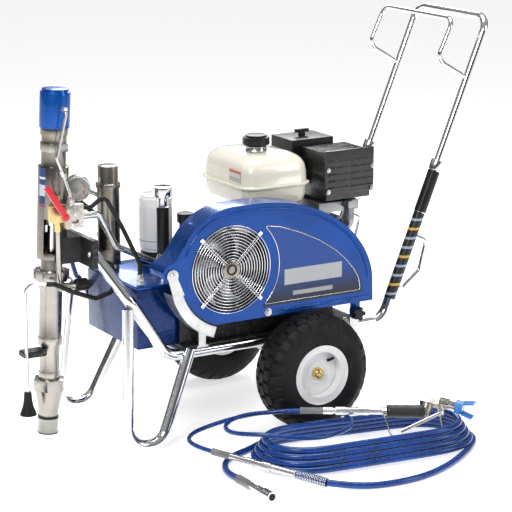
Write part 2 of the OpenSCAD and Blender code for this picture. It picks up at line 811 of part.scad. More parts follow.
module hose_fittings() {
    color("silver") {
        aim(coupling_start, coupling_end - coupling_start) {
            turned([[0, 92, 22], [92, 112, 17], [112, 140, 18], [140, 166, 18], [166, 190, 23], [190, 214, 17],
                    [214, 238, 21], [238, 262, 17]]);
            translate([0, 0, 262]) cylinder(d = 18, h = norm(coupling_end - coupling_start) - 262);
        }
        aim([-345, -560, 12], [0, -171, 3])
            turned([[0, 62, 22], [62, 96, 17], [96, 124, 22], [124, 130, 18], [130, 168, 27]]);
        aim(gun_start, gun_dir)
            turned([[0, 62, 17], [62, 88, 20], [88, 96, 16], [96, 124, 23], [124, 158, 20],
                    [158, 186, 23], [186, 222, 19]]);
    }
}

module stadium(r, length) {
    circle(r = r, $fn = 96);
    translate([length, 0]) circle(r = r, $fn = 96);
    translate([0, -r]) square([length, 2 * r]);
}

module hose_coil() {
    color("#1f55b8") translate(coil_pos) rotate([0, 0, coil_turn]) translate([-coil_len / 2, 0, 0])
        linear_extrude(coil_h) difference() {
            stadium(coil_r, coil_len);
            stadium(coil_r - coil_band, coil_len);
        }
}

module hose_tails() {
    color("#1f55b8") {
        hose(tail_route, hose_d);
        hose(lead_route, hose_d);
    }
}

module whip_hose() {
    color("#1f55b8") hose(whip_route, whip_d);
}

// The gun lies on its side: the handle along gun_dir, the head turned from it
module gun_body() {
    grip = gun_start + gun_dir * 222;
    color("#161616") aim(grip, gun_dir) turned([[0, 14, 24], [14, 118, 32]]);
    color("#b9b5ad") {
        aim(grip + gun_dir * 118, [0.4, 0.2, 0.9]) translate([0, 0, -14]) cylinder(d = 28, h = 40);
        aim(head_start, head_dir) {
            cylinder(d = 38, h = 52, $fn = 8);
            translate([0, 0, 52]) cylinder(d = 30, h = 26);
            translate([0, 0, 78]) cylinder(d = 22, h = 18);
        }
        translate(trigger_root + [0, 0, 8 + gap]) cylinder(d = 12, h = 16);
    }
    color("#888580") tube_path([[138, -512, 96], [102, -598, 66], [126, -611, 45], [217, -618, 30],
        [284, -592, 42], [266, -582, 116]], 12, 5);
}

module gun_trigger() {
    color("silver") {
        bar(trigger_root, [130, -604, 70], 10);
        translate(trigger_root) cylinder(d = 12, h = 16, center = true);
    }
}

module tip_guard() {
    color("#2a7ad8") aim(head_start + head_dir * (96 + gap), head_dir) {
        cylinder(d = 40, h = 22, $fn = 8);
        for (a = [0, 180]) rotate([0, 0, a]) translate([12, -14, 22]) rotate([0, 12, 0]) cube([5, 28, 30]);
        rotate([90, 0, 0]) translate([0, 12, 18]) cylinder(d = 12, h = 16);
    }
}

side_rail(-1);  // side_rail_near
side_rail(1);  // side_rail_far
front_leg(-1);  // front_leg_near
front_leg(1);  // front_leg_far
cross_bars();
deck_plate();
lift_loops();
handle_collars();
handle();
grip_loop();
axle();
tyre(-1);  // tyre_near
tyre(1);  // tyre_far
rim(-1);  // rim_near
rim(1);  // rim_far
axle_caps();
reservoir();
reservoir_lid();
oil_filter();
breather_cap();
hydraulic_pump();
guard_bracket();
guard_back_plate();
belt_guard();
guard_decal();
fan_grille();
fan_pulley();
drive_belt();
engine_pulley();
guard_knob();
engine_block();
recoil_housing();
recoil_handle();
fuel_tank();
fuel_cap();
muffler();
air_cleaner();
exhaust_pipe();
pump_mount();
motor_cylinder();
motor_cap();
pump_rod();
pump_cylinder();
intake_valve();
drain_tube();
return_tube();
valve_body();
valve_lever();
filter_housing();
pressure_gauge();
prime_knob();
pressure_knob();
hydraulic_hoses();
hose_fittings();
hose_coil();
hose_tails();
whip_hose();
gun_body();
gun_trigger();
tip_guard();
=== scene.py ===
"""Looks of an airless paint sprayer on a cart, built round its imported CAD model. Lengths are in metres."""

import json
import math

import bmesh
import bpy
from mathutils import Matrix, Vector


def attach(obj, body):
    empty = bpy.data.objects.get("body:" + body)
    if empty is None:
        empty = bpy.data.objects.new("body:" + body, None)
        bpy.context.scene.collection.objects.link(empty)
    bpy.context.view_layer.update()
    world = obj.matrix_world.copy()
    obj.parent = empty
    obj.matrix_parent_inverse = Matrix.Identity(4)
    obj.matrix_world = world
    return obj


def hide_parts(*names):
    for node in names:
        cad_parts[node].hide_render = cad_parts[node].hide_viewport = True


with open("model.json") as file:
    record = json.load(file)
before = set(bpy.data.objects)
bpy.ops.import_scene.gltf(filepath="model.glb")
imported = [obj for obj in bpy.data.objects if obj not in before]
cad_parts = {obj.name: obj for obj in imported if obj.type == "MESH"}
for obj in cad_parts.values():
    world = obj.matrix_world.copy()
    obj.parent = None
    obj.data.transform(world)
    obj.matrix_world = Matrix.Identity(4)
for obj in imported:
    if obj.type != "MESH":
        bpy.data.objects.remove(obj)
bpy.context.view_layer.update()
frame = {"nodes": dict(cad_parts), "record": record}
MM = 0.001
BODY_OF = {n: b for b, ns in frame["record"]["behaviour"]["bodies"].items() for n in ns}


def pt(x, y, z):
    """Point given in millimetres."""
    return Vector((x, y, z)) * MM


def pts(rows):
    return [pt(*r) for r in rows]


# ---- camera, floor and lights ----

def make_camera():
    cam = bpy.data.objects.new("camera", bpy.data.cameras.new("camera"))
    cam.location = (-2.9115, -4.9689, 1.8719)
    cam.rotation_euler = (math.radians(76.06), 0.0, math.radians(-30.71))
    cam.data.sensor_width = 36.0
    cam.data.lens = 146.7
    bpy.context.scene.collection.objects.link(cam)
    bpy.context.scene.camera = cam


def area_light(name, at, look_at, size, power, color=(1, 1, 1)):
    data = bpy.data.lights.new(name, "AREA")
    data.shape = "RECTANGLE"
    data.size, data.size_y = size
    data.energy = power
    data.color = color
    lamp = bpy.data.objects.new(name, data)
    lamp.location = at
    lamp.rotation_euler = (Vector(look_at) - Vector(at)).to_track_quat("-Z", "Y").to_euler()
    bpy.context.scene.collection.objects.link(lamp)


def make_studio():
    scene = bpy.context.scene
    scene.view_settings.view_transform = "Standard"
    world = bpy.data.worlds.new("studio")
    scene.world = world
    world.use_nodes = True
    nt = world.node_tree
    back = nt.nodes["Background"]
    coord = nt.nodes.new("ShaderNodeTexCoord")
    split = nt.nodes.new("ShaderNodeSeparateXYZ")
    ramp = nt.nodes.new("ShaderNodeValToRGB")
    nt.links.new(coord.outputs["Generated"], split.inputs[0])
    nt.links.new(split.outputs["Z"], ramp.inputs[0])
    nt.links.new(ramp.outputs[0], back.inputs[0])
    keys = ramp.color_ramp.elements
    keys[0].position, keys[0].color = 0.02, (0.42, 0.43, 0.45, 1)
    keys[1].position, keys[1].color = 0.75, (1.0, 1.0, 1.0, 1)
    mid = keys.new(0.22)
    mid.color = (0.20, 0.205, 0.22, 1)
    mid = keys.new(0.42)
    mid.color = (0.95, 0.96, 0.98, 1)
    back.inputs[1].default_value = 0.36
    area_light("key", (-3.2, -2.6, 3.4), (0, 0, 0.3), (1.6, 1.6), 120)
    area_light("fill", (2.8, -3.6, 2.2), (0, 0, 0.4), (1.2, 2.2), 45)
    area_light("top", (0.2, 0.4, 3.9), (0, 0, 0.3), (2.6, 2.0), 95)
    area_light("rim", (1.8, 3.2, 2.6), (0, 0, 0.5), (1.6, 1.6), 60)


# ---- materials ----

class Graph:
    """A material's node tree, with short calls to add nodes."""

    def __init__(self, name):
        self.material = bpy.data.materials.new(name)
        self.material.use_nodes = True
        self.tree = self.material.node_tree
        self.shader = self.tree.nodes["Principled BSDF"]
        self.coord = self.add("ShaderNodeTexCoord").outputs["Object"]

    def add(self, kind, **inputs):
        node = self.tree.nodes.new(kind)
        for key, value in inputs.items():
            node.inputs[key.replace("_", " ")].default_value = value
        return node

    def link(self, a, b):
        self.tree.links.new(a, b)

    def scaled(self, stretch):
        node = self.add("ShaderNodeMapping")
        node.inputs["Scale"].default_value = stretch
        self.link(self.coord, node.inputs["Vector"])
        return node.outputs[0]

    def noise(self, scale, detail=4.0, stretch=(1, 1, 1), roughness=0.55):
        node = self.add("ShaderNodeTexNoise", Scale=scale, Detail=detail, Roughness=roughness)
        self.link(self.scaled(stretch), node.inputs["Vector"])
        return node.outputs["Fac"]

    def ramp(self, value, low, high, a=0.0, b=1.0):
        node = self.add("ShaderNodeMapRange")
        node.interpolation_type = "SMOOTHSTEP"
        for key, v in (("From Min", low), ("From Max", high), ("To Min", a), ("To Max", b)):
            node.inputs[key].default_value = v
        self.link(value, node.inputs["Value"])
        return node.outputs["Result"]

    def mix(self, factor, a, b):
        node = self.add("ShaderNodeMix")
        node.data_type = "RGBA"
        self.link(factor, node.inputs["Factor"])
        for socket, v in ((node.inputs[6], a), (node.inputs[7], b)):
            if isinstance(v, tuple):
                socket.default_value = (*v, 1.0)
            else:
                self.link(v, socket)
        return node.outputs[2]

    def math(self, op, a, b=None):
        node = self.add("ShaderNodeMath")
        node.operation = op
        for socket, v in zip(node.inputs, (a, b)):
            if isinstance(v, (int, float)):
                socket.default_value = v
            elif v is not None:
                self.link(v, socket)
        return node.outputs[0]

    def axis(self, name):
        node = self.add("ShaderNodeSeparateXYZ")
        self.link(self.coord, node.inputs[0])
        return node.outputs[name]

    def bump(self, height, strength, distance, under=None):
        node = self.add("ShaderNodeBump", Strength=strength, Distance=distance)
        self.link(height, node.inputs["Height"])
        if under:
            self.link(under, node.inputs["Normal"])
        return node.outputs[0]

    def edge_wear_and_highlight(self, color, edge_wear_and_highlight_color, spread):
        """Lighter colour along convex edges, broken up by noise: edge wear on most finishes, and on the tyre a
        painted highlight along the lug edges.
        """
        geo = self.add("ShaderNodeNewGeometry").outputs["Pointiness"]
        edge = self.ramp(geo, 0.53, 0.60)
        broken = self.ramp(self.noise(90, 6), 0.60 - spread, 0.66)
        return self.mix(self.math("MULTIPLY", edge, broken), color, edge_wear_and_highlight_color)


def shade(c, k):
    return tuple(min(1.0, x * k) for x in c)


def surface(name, color, rough, metal=0.0, tint=0.12, tint_scale=7.0, grain=420.0, grain_depth=0.00005,
            spread=0.10, stretch=(1, 1, 1), coat=0.0, worn_and_highlight_tone=None, dust=0.0, dust_color=(0.34, 0.31, 0.27),
            specular=0.5):
    """General finish: slow colour drift, dust, lighter convex edges (edge wear, and on the tyre a painted highlight),
    uneven gloss and a fine grain.
    """
    g = Graph(name)
    drift = g.ramp(g.noise(tint_scale, 5), 0.32, 0.68)
    out = g.mix(drift, shade(color, 1 - tint), shade(color, 1 + tint))
    if worn_and_highlight_tone:
        out = g.edge_wear_and_highlight(out, worn_and_highlight_tone, 0.12)
    if dust:
        out = g.mix(g.ramp(g.noise(26, 8, roughness=0.7), 0.46, 0.78, 0.0, dust), out, dust_color)
    g.link(out, g.shader.inputs["Base Color"])
    fine = g.noise(grain, 3, stretch)
    patchy = g.math("ADD", g.math("MULTIPLY", fine, 0.5), g.math("MULTIPLY", g.noise(14, 6), 0.5))
    g.link(g.ramp(patchy, 0.3, 0.7, max(0.03, rough - spread), rough + spread), g.shader.inputs["Roughness"])
    g.link(g.bump(fine, 0.5, grain_depth), g.shader.inputs["Normal"])
    g.shader.inputs["Metallic"].default_value = metal
    g.shader.inputs["Coat Weight"].default_value = coat
    g.shader.inputs["Coat Roughness"].default_value = 0.05
    g.shader.inputs["Specular IOR Level"].default_value = specular
    return g.material


def metallic_paint(name, color, flake):
    """Clear-coated metallic enamel with fine flakes and faint orange peel."""
    g = Graph(name)
    flakes = g.add("ShaderNodeTexVoronoi", Scale=1500.0)
    g.link(g.coord, flakes.inputs["Vector"])
    spark = g.ramp(flakes.outputs["Distance"], 0.1, 0.6, 0.22, 0.0)
    drift = g.ramp(g.noise(4, 4), 0.35, 0.65)
    body = g.mix(drift, shade(color, 0.86), shade(color, 1.14))
    body = g.mix(spark, body, flake)
    g.link(g.edge_wear_and_highlight(body, shade(flake, 1.1), 0.05), g.shader.inputs["Base Color"])
    g.link(g.ramp(g.noise(18, 6), 0.3, 0.7, 0.24, 0.38), g.shader.inputs["Roughness"])
    g.link(g.bump(g.noise(160, 2), 0.25, 0.00006), g.shader.inputs["Normal"])
    g.shader.inputs["Metallic"].default_value = 0.62
    g.shader.inputs["Coat Weight"].default_value = 0.35
    g.shader.inputs["Coat Roughness"].default_value = 0.04
    g.shader.inputs["Specular IOR Level"].default_value = 0.25
    return g.material


def printed_film(name):
    """Blank printed film for the guard: blue that fades to black at the foot, with plain silver bars."""
    g = Graph(name)
    x, z = g.axis("X"), g.axis("Z")
    streak = g.noise(9, 7, (0.5, 1, 5.0), 0.6)
    fade = g.ramp(g.math("ADD", z, g.math("MULTIPLY", streak, 0.03)), 0.375, 0.475)
    body = g.mix(fade, (0.003, 0.004, 0.010), (0.003, 0.050, 0.26))
    for low, high, left, right, tone in ((0.414, 0.458, -0.015, 0.172, (0.40, 0.41, 0.43)),
                                         (0.382, 0.394, 0.012, 0.142, (0.34, 0.34, 0.35))):
        inside = g.math("MULTIPLY", g.ramp(z, low, low + 0.0006), g.ramp(z, high, high + 0.0006, 1.0, 0.0))
        inside = g.math("MULTIPLY", inside, g.ramp(x, left, left + 0.0006))
        inside = g.math("MULTIPLY", inside, g.ramp(x, right, right + 0.0006, 1.0, 0.0))
        body = g.mix(inside, body, tone)
    g.link(body, g.shader.inputs["Base Color"])
    g.link(g.ramp(g.noise(30, 6), 0.3, 0.7, 0.18, 0.32), g.shader.inputs["Roughness"])
    g.link(g.bump(g.noise(240, 3), 0.2, 0.00004), g.shader.inputs["Normal"])
    g.shader.inputs["Coat Weight"].default_value = 0.25
    g.shader.inputs["Specular IOR Level"].default_value = 0.3
    return g.material


def banded(name, base, bands, axis="Z", rough=0.35, metal=0.0):
    """Blank label film: coloured bands across an axis, given as (low, high, colour) in metres."""
    g = Graph(name)
    value = g.axis(axis)
    body = g.mix(g.noise(60, 5), shade(base, 0.92), shade(base, 1.06))
    for low, high, tone in bands:
        inside = g.math("MULTIPLY", g.ramp(value, low, low + 0.0005), g.ramp(value, high, high + 0.0005, 1.0, 0.0))
        body = g.mix(inside, body, tone)
    g.link(body, g.shader.inputs["Base Color"])
    g.link(g.ramp(g.noise(40, 5), 0.3, 0.7, rough - 0.08, rough + 0.1), g.shader.inputs["Roughness"])
    g.link(g.bump(g.noise(300, 2), 0.2, 0.00003), g.shader.inputs["Normal"])
    g.shader.inputs["Metallic"].default_value = metal
    return g.material


def dial_face(name, centre, facing):
    """Pale gauge dial with a ring of plain tick marks and a coloured arc."""
    g = Graph(name)
    side = Vector((0, 0, 1)).cross(facing).normalized()
    rel = g.add("ShaderNodeVectorMath")
    rel.operation = "SUBTRACT"
    rel.inputs[1].default_value = centre
    g.link(g.coord, rel.inputs[0])
    across = g.add("ShaderNodeVectorMath")
    across.operation = "DOT_PRODUCT"
    across.inputs[1].default_value = side
    g.link(rel.outputs[0], across.inputs[0])
    up = g.add("ShaderNodeSeparateXYZ")
    g.link(rel.outputs[0], up.inputs[0])
    angle = g.math("ARCTAN2", across.outputs["Value"], up.outputs["Z"])
    length = g.add("ShaderNodeVectorMath")
    length.operation = "LENGTH"
    g.link(rel.outputs[0], length.inputs[0])
    far = length.outputs["Value"]
    ring = g.math("MULTIPLY", g.ramp(far, 0.0215, 0.0220), g.ramp(far, 0.0265, 0.0270, 1.0, 0.0))
    ticks = g.ramp(g.math("FRACT", g.math("MULTIPLY", angle, 4.0)), 0.80, 0.84)
    body = g.mix(g.noise(90, 3), (0.42, 0.43, 0.42), (0.50, 0.50, 0.48))
    body = g.mix(g.math("MULTIPLY", ring, ticks), body, (0.02, 0.02, 0.02))
    arc = g.math("MULTIPLY", g.ramp(far, 0.0180, 0.0184), g.ramp(far, 0.0200, 0.0204, 1.0, 0.0))
    body = g.mix(g.math("MULTIPLY", arc, g.ramp(angle, 0.4, 0.42)), body, (0.55, 0.05, 0.03))
    g.link(body, g.shader.inputs["Base Color"])
    g.link(g.ramp(g.noise(50, 3), 0.3, 0.7, 0.08, 0.2), g.shader.inputs["Roughness"])
    g.shader.inputs["Coat Weight"].default_value = 1.0
    return g.material


def knurled(name, color, metal, rough, pitch):
    """Crossed diagonal knurling, as on a moulded cuff; its colour is darker in the grooves and lighter on the ridges,
    a painted shade and painted highlight.
    """
    g = Graph(name)
    height = None
    for sign in (1, -1):
        wave = g.add("ShaderNodeTexWave", Scale=pitch, Distortion=0.0)
        wave.bands_direction = "DIAGONAL"
        g.link(g.scaled((sign, 1, 1)), wave.inputs["Vector"])
        height = wave.outputs["Fac"] if height is None else g.math("MULTIPLY", height, wave.outputs["Fac"])
    # Painted shade in the knurl grooves and painted highlight on its ridges: the colour follows the knurl height.
    body = g.mix(height, shade(color, 0.7), shade(color, 1.2))
    g.link(g.mix(g.noise(40, 5), body, shade(color, 0.9)), g.shader.inputs["Base Color"])
    g.link(g.ramp(g.noise(80, 4), 0.3, 0.7, rough - 0.1, rough + 0.1), g.shader.inputs["Roughness"])
    g.link(g.bump(height, 0.6, 0.0004), g.shader.inputs["Normal"])
    g.shader.inputs["Metallic"].default_value = metal
    return g.material


def hose_jacket(name, color):
    """Glossy extruded jacket with a faint spiral of the braid under it."""
    g = Graph(name)
    drift = g.ramp(g.noise(11, 4), 0.3, 0.7)
    body = g.mix(drift, shade(color, 0.75), shade(color, 1.25))
    body = g.mix(g.ramp(g.noise(70, 8, roughness=0.7), 0.62, 0.84, 0.0, 0.05), body, (0.12, 0.18, 0.34))
    g.link(body, g.shader.inputs["Base Color"])
    g.link(g.ramp(g.noise(60, 5), 0.3, 0.7, 0.20, 0.36), g.shader.inputs["Roughness"])
    braid = g.add("ShaderNodeTexWave", Scale=220.0, Distortion=1.5)
    g.link(g.coord, braid.inputs["Vector"])
    g.link(g.bump(braid.outputs["Fac"], 0.25, 0.00012, g.bump(g.noise(500, 2), 0.3, 0.00004)),
           g.shader.inputs["Normal"])
    g.shader.inputs["Specular IOR Level"].default_value = 0.35
    g.shader.inputs["Coat Weight"].default_value = 0.3
    g.shader.inputs["Coat Roughness"].default_value = 0.10
    return g.material


CHROME = surface("chrome", (0.80, 0.81, 0.83), 0.09, 1.0, tint=0.05, grain=60, grain_depth=0.00001, spread=0.05)
STEEL = surface("bright_steel", (0.66, 0.66, 0.65), 0.24, 1.0, tint=0.10, grain=260, stretch=(1, 1, 0.1),
                worn_and_highlight_tone=(0.85, 0.85, 0.84))
ZINC = surface("zinc", (0.66, 0.67, 0.66), 0.34, 1.0, tint=0.14, tint_scale=30, grain=300, dust=0.10)
NICKEL = surface("nickel", (0.47, 0.44, 0.40), 0.26, 1.0, tint=0.12, tint_scale=14, grain=380, stretch=(1, 1, 6),
                 worn_and_highlight_tone=(0.78, 0.76, 0.72), dust=0.08)
DARK_NICKEL = surface("dark_nickel", (0.27, 0.245, 0.215), 0.24, 1.0, tint=0.14, tint_scale=12, grain=380,
                      stretch=(1, 1, 6), worn_and_highlight_tone=(0.62, 0.60, 0.56))
BLACK_PAINT = surface("black_paint", (0.010, 0.010, 0.011), 0.36, tint=0.25, grain=520, worn_and_highlight_tone=(0.10, 0.10, 0.10),
                      dust=0.03, specular=0.3)
BLACK_CAST = surface("black_casting", (0.014, 0.0145, 0.016), 0.42, tint=0.25, grain=240, grain_depth=0.0003,
                     worn_and_highlight_tone=(0.12, 0.12, 0.12), dust=0.04, specular=0.3)
BLACK_PLASTIC = surface("black_plastic", (0.009, 0.009, 0.010), 0.34, tint=0.20, grain=900,
                        grain_depth=0.00012, dust=0.02, specular=0.3)
RUBBER = surface("rubber", (0.010, 0.010, 0.010), 0.42, tint=0.2, grain=400, grain_depth=0.0001, dust=0.03,
                 specular=0.25)
# The lighter colour on the tyre's convex lug edges is a painted highlight on the tread.
TYRE = surface("tyre", (0.010, 0.010, 0.0105), 0.50, tint=0.3, tint_scale=20, grain=260, grain_depth=0.0004,
               worn_and_highlight_tone=(0.10, 0.10, 0.10), dust=0.05, dust_color=(0.10, 0.095, 0.09), specular=0.18)
WHITE_ENAMEL = surface("white_enamel", (0.86, 0.86, 0.85), 0.28, tint=0.03, grain=160, grain_depth=0.00004,
                       coat=0.5, dust=0.05)
IVORY = surface("ivory_enamel", (0.80, 0.76, 0.64), 0.24, tint=0.05, tint_scale=4, grain=150,
                grain_depth=0.00005, coat=0.7, worn_and_highlight_tone=(0.86, 0.84, 0.76))
BLUE = metallic_paint("guard_blue", (0.002, 0.052, 0.27), (0.01, 0.12, 0.48))
DARK_BLUE = metallic_paint("reservoir_blue", (0.002, 0.022, 0.12), (0.01, 0.06, 0.24))
CAP_BLUE = metallic_paint("cap_blue", (0.003, 0.075, 0.36), (0.02, 0.17, 0.60))
ALU = surface("cast_aluminium", (0.58, 0.59, 0.60), 0.38, 1.0, tint=0.10, grain=300, grain_depth=0.0002,
              worn_and_highlight_tone=(0.8, 0.8, 0.8), dust=0.08)
ENGINE_ALU = surface("engine_casting", (0.20, 0.205, 0.215), 0.46, 0.9, tint=0.16, grain=260, grain_depth=0.0004,
                     worn_and_highlight_tone=(0.55, 0.55, 0.55), dust=0.16)
IRON = surface("machined_iron", (0.30, 0.30, 0.31), 0.34, 0.9, tint=0.14, grain=420)
BRASS = surface("brass", (0.62, 0.46, 0.20), 0.28, 1.0, tint=0.12, grain=420, worn_and_highlight_tone=(0.85, 0.72, 0.42))
RED = surface("red_vinyl", (0.62, 0.012, 0.03), 0.30, tint=0.10, grain=500, grain_depth=0.00006, coat=0.4)
HOSE = hose_jacket("hose_blue", (0.002, 0.042, 0.22))
TIP_BLUE = surface("tip_blue", (0.02, 0.20, 0.62), 0.30, tint=0.12, grain=420, grain_depth=0.0001, coat=0.3)
CUFF = knurled("grey_cuff", (0.22, 0.225, 0.23), 0.3, 0.42, 160.0)
GRIP = knurled("gun_grip", (0.020, 0.020, 0.021), 0.0, 0.38, 90.0)
MESH = knurled("strainer_mesh", (0.55, 0.54, 0.51), 1.0, 0.40, 240.0)
FILM = printed_film("guard_film")
MUFFLER = surface("muffler_black", (0.007, 0.007, 0.008), 0.26, tint=0.25, grain=300, coat=0.3,
                  worn_and_highlight_tone=(0.08, 0.08, 0.08))
FAN_BLACK = surface("fan_black", (0.012, 0.012, 0.013), 0.35, tint=0.2, grain=400)
EXHAUST = surface("exhaust_alu", (0.36, 0.37, 0.38), 0.36, 0.9, tint=0.15, grain=260, grain_depth=0.0002, dust=0.08)


# ---- shape helpers ----

def turns(steps):
    """Evenly spaced angles of one full turn."""
    return [2 * math.pi * k / steps for k in range(steps)]


def add_object(name, data):
    obj = bpy.data.objects.new(name, data)
    bpy.context.scene.collection.objects.link(obj)
    return obj


def settle(obj, body, replaces=()):
    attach(obj, body)
    if replaces:
        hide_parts(*replaces)
    return obj


def mesh_piece(name, bm, materials, body, replaces=(), crease=35.0):
    for f in bm.faces:
        f.smooth = True
    bmesh.ops.recalc_face_normals(bm, faces=bm.faces)
    mesh = bpy.data.meshes.new(name)
    bm.to_mesh(mesh)
    bm.free()
    if "custom_normal" in mesh.attributes:
        mesh.attributes.remove(mesh.attributes["custom_normal"])
    for m in materials:
        mesh.materials.append(m)
    mesh.set_sharp_from_angle(angle=math.radians(crease))
    return settle(add_object(name, mesh), body, replaces)


def skin(node, materials, bevel=0.8, pick=None, angle=32.0, segments=2):
    """A finished copy of a CAD node: coplanar faces joined, edges rounded, materials chosen per face."""
    bm = bmesh.new()
    bm.from_mesh(frame["nodes"][node].data)
    bmesh.ops.remove_doubles(bm, verts=bm.verts, dist=2e-6)
    bmesh.ops.dissolve_limit(bm, angle_limit=math.radians(0.4), verts=bm.verts, edges=bm.edges)
    if pick:
        for f in bm.faces:
            f.material_index = pick(f.calc_center_median() / MM)
    else:
        for f in bm.faces:
            f.material_index = 0
    if bevel:
        edges = [e for e in bm.edges if len(e.link_faces) == 2
                 and e.calc_face_angle(0.0) > math.radians(angle)]
        bmesh.ops.bevel(bm, geom=edges, offset=bevel * MM, segments=segments, profile=0.6,
                        affect="EDGES", clamp_overlap=True)
    mats = materials if isinstance(materials, (list, tuple)) else [materials]
    return mesh_piece(node + "_skin", bm, mats, BODY_OF[node], (node,))


def arc_path(points, bend):
    """Line through points whose corners are rounded with one bend radius, in metres."""
    out = [points[0]]
    for before, at, after in zip(points, points[1:], points[2:]):
        u = (at - before).normalized()
        v = (after - at).normalized()
        angle = u.angle(v)
        centre = at + (v - u).normalized() * bend / math.cos(angle / 2)
        start = at - u * bend * math.tan(angle / 2)
        steps = max(4, int(math.degrees(angle) / 5))
        for k in range(steps + 1):
            turn = Matrix.Rotation(angle * k / steps, 3, u.cross(v).normalized())
            out.append(centre + turn @ (start - centre))
    out.append(points[-1])
    return out


def smooth_path(points, per_span):
    """Curve that passes through points, with the given number of steps between two of them."""
    ext = [points[0] * 2 - points[1]] + points + [points[-1] * 2 - points[-2]]
    out = []
    for i in range(1, len(ext) - 2):
        a, b, c, d = ext[i - 1], ext[i], ext[i + 1], ext[i + 2]
        for k in range(per_span):
            t = k / per_span
            out.append(0.5 * (2 * b + (c - a) * t + (2 * a - 5 * b + 4 * c - d) * t * t
                              + (3 * b - a - 3 * c + d) * t ** 3))
    out.append(points[-1])
    return out


def curve_object(name, lines, d, material, closed=False, resolution=8):
    data = bpy.data.curves.new(name, "CURVE")
    data.dimensions = "3D"
    data.bevel_depth = d / 2
    data.bevel_resolution = resolution
    data.use_fill_caps = True
    for line in lines:
        spline = data.splines.new("POLY")
        spline.points.add(len(line) - 1)
        for p, q in zip(spline.points, line):
            p.co = (*q, 1.0)
        spline.use_cyclic_u = closed
        spline.use_smooth = True
    data.materials.append(material)
    return add_object(name, data)


def tube(name, rows, bend, d, material, body, replaces=()):
    """Bent round tube, in millimetres."""
    line = arc_path(pts(rows), bend * MM)
    return settle(curve_object(name, [line], d * MM, material), body, replaces)


def aimed(at, direction):
    """Matrix that puts +Z of a piece along a direction at a point in millimetres."""
    return Matrix.Translation(pt(*at)) @ Vector(direction).to_track_quat("Z", "Y").to_matrix().to_4x4()


def lathe(name, profile, at, direction, material, body, replaces=(), steps=64, crease=35.0, rim=0.6,
          hollow=False):
    """Turned piece from (height, radius) pairs in millimetres; a hollow one closes on itself as a ring."""
    bm = bmesh.new()
    rings = []
    for h, r in profile:
        rings.append([bm.verts.new(Vector((r * math.cos(a), r * math.sin(a), h)) * MM)
                      for a in turns(steps)])
    for low, high in zip(rings, rings[1:] + (rings[:1] if hollow else [])):
        for k in range(steps):
            bm.faces.new((low[k], low[(k + 1) % steps], high[(k + 1) % steps], high[k]))
    if not hollow:
        bm.faces.new(rings[0][::-1])
        bm.faces.new(rings[-1])
    edges = [e for e in bm.edges if e.calc_face_angle(0.0) > math.radians(30)]
    if rim:
        bmesh.ops.bevel(bm, geom=edges, offset=rim * MM, segments=2, profile=0.6, affect="EDGES",
                        clamp_overlap=True)
    bmesh.ops.transform(bm, matrix=aimed(at, direction), verts=bm.verts)
    return mesh_piece(name, bm, [material], body, replaces, crease)


def rounded_box(name, centre, size, edge, material, body, segments=2):
    """Box with rounded edges, in millimetres."""
    bm = bmesh.new()
    place = Matrix.Translation(pt(*centre)) @ Matrix.Diagonal((*pt(*size), 1))
    bmesh.ops.create_cube(bm, size=1.0, matrix=place)
    bmesh.ops.bevel(bm, geom=bm.edges[:], offset=edge * MM, segments=segments, affect="EDGES")
    return mesh_piece(name, bm, [material], body)


def bolts(name, places, direction, size, material, body):
    """Hexagon bolt heads with washers and domed tops, at points in millimetres."""
    bm = bmesh.new()
    for place in places:
        part = bmesh.new()
        for sides, r, low, high in ((40, size * 0.74, 0.0, size * 0.12), (6, size * 0.56, size * 0.1, size * 0.52),
                                    (28, size * 0.40, size * 0.5, size * 0.60)):
            made = bmesh.ops.create_cone(part, cap_ends=True, segments=sides, radius1=r * MM, radius2=r * MM,
                                         depth=(high - low) * MM)
            bmesh.ops.translate(part, verts=made["verts"], vec=(0, 0, (low + high) / 2 * MM))
        edges = [e for e in part.edges if e.calc_face_angle(0.0) > math.radians(40)]
        bmesh.ops.bevel(part, geom=edges, offset=size * 0.03 * MM, segments=2, affect="EDGES")
        bmesh.ops.transform(part, matrix=aimed(place, direction), verts=part.verts)
        mesh = bpy.data.meshes.new("part")
        part.to_mesh(mesh)
        part.free()
        bm.from_mesh(mesh)
        bpy.data.meshes.remove(mesh)
    return mesh_piece(name, bm, [material], body)


def rounded_loop(hx, hy, r, steps=10):
    """Rounded rectangle about the origin, in millimetres."""
    out = []
    for cx, cy, start in ((hx - r, hy - r, 0), (r - hx, hy - r, 90), (r - hx, r - hy, 180), (hx - r, r - hy, 270)):
        for k in range(steps + 1):
            a = math.radians(start + 90 * k / steps)
            out.append((cx + r * math.cos(a), cy + r * math.sin(a)))
    return out


def loft(name, centre, layers, material, body, replaces=(), crease=40.0):
    """Closed shell through rounded rectangles, given as (height, half x, half y, corner radius)."""
    bm = bmesh.new()
    rings = [[bm.verts.new(pt(centre[0] + x, centre[1] + y, h)) for x, y in rounded_loop(hx, hy, r)]
             for h, hx, hy, r in layers]
    n = len(rings[0])
    for low, high in zip(rings, rings[1:]):
        for k in range(n):
            bm.faces.new((low[k], low[(k + 1) % n], high[(k + 1) % n], high[k]))
    bm.faces.new(rings[0][::-1])
    bm.faces.new(rings[-1])
    return mesh_piece(name, bm, [material], body, replaces, crease)


make_camera()
make_studio()

# ---- hoses ----

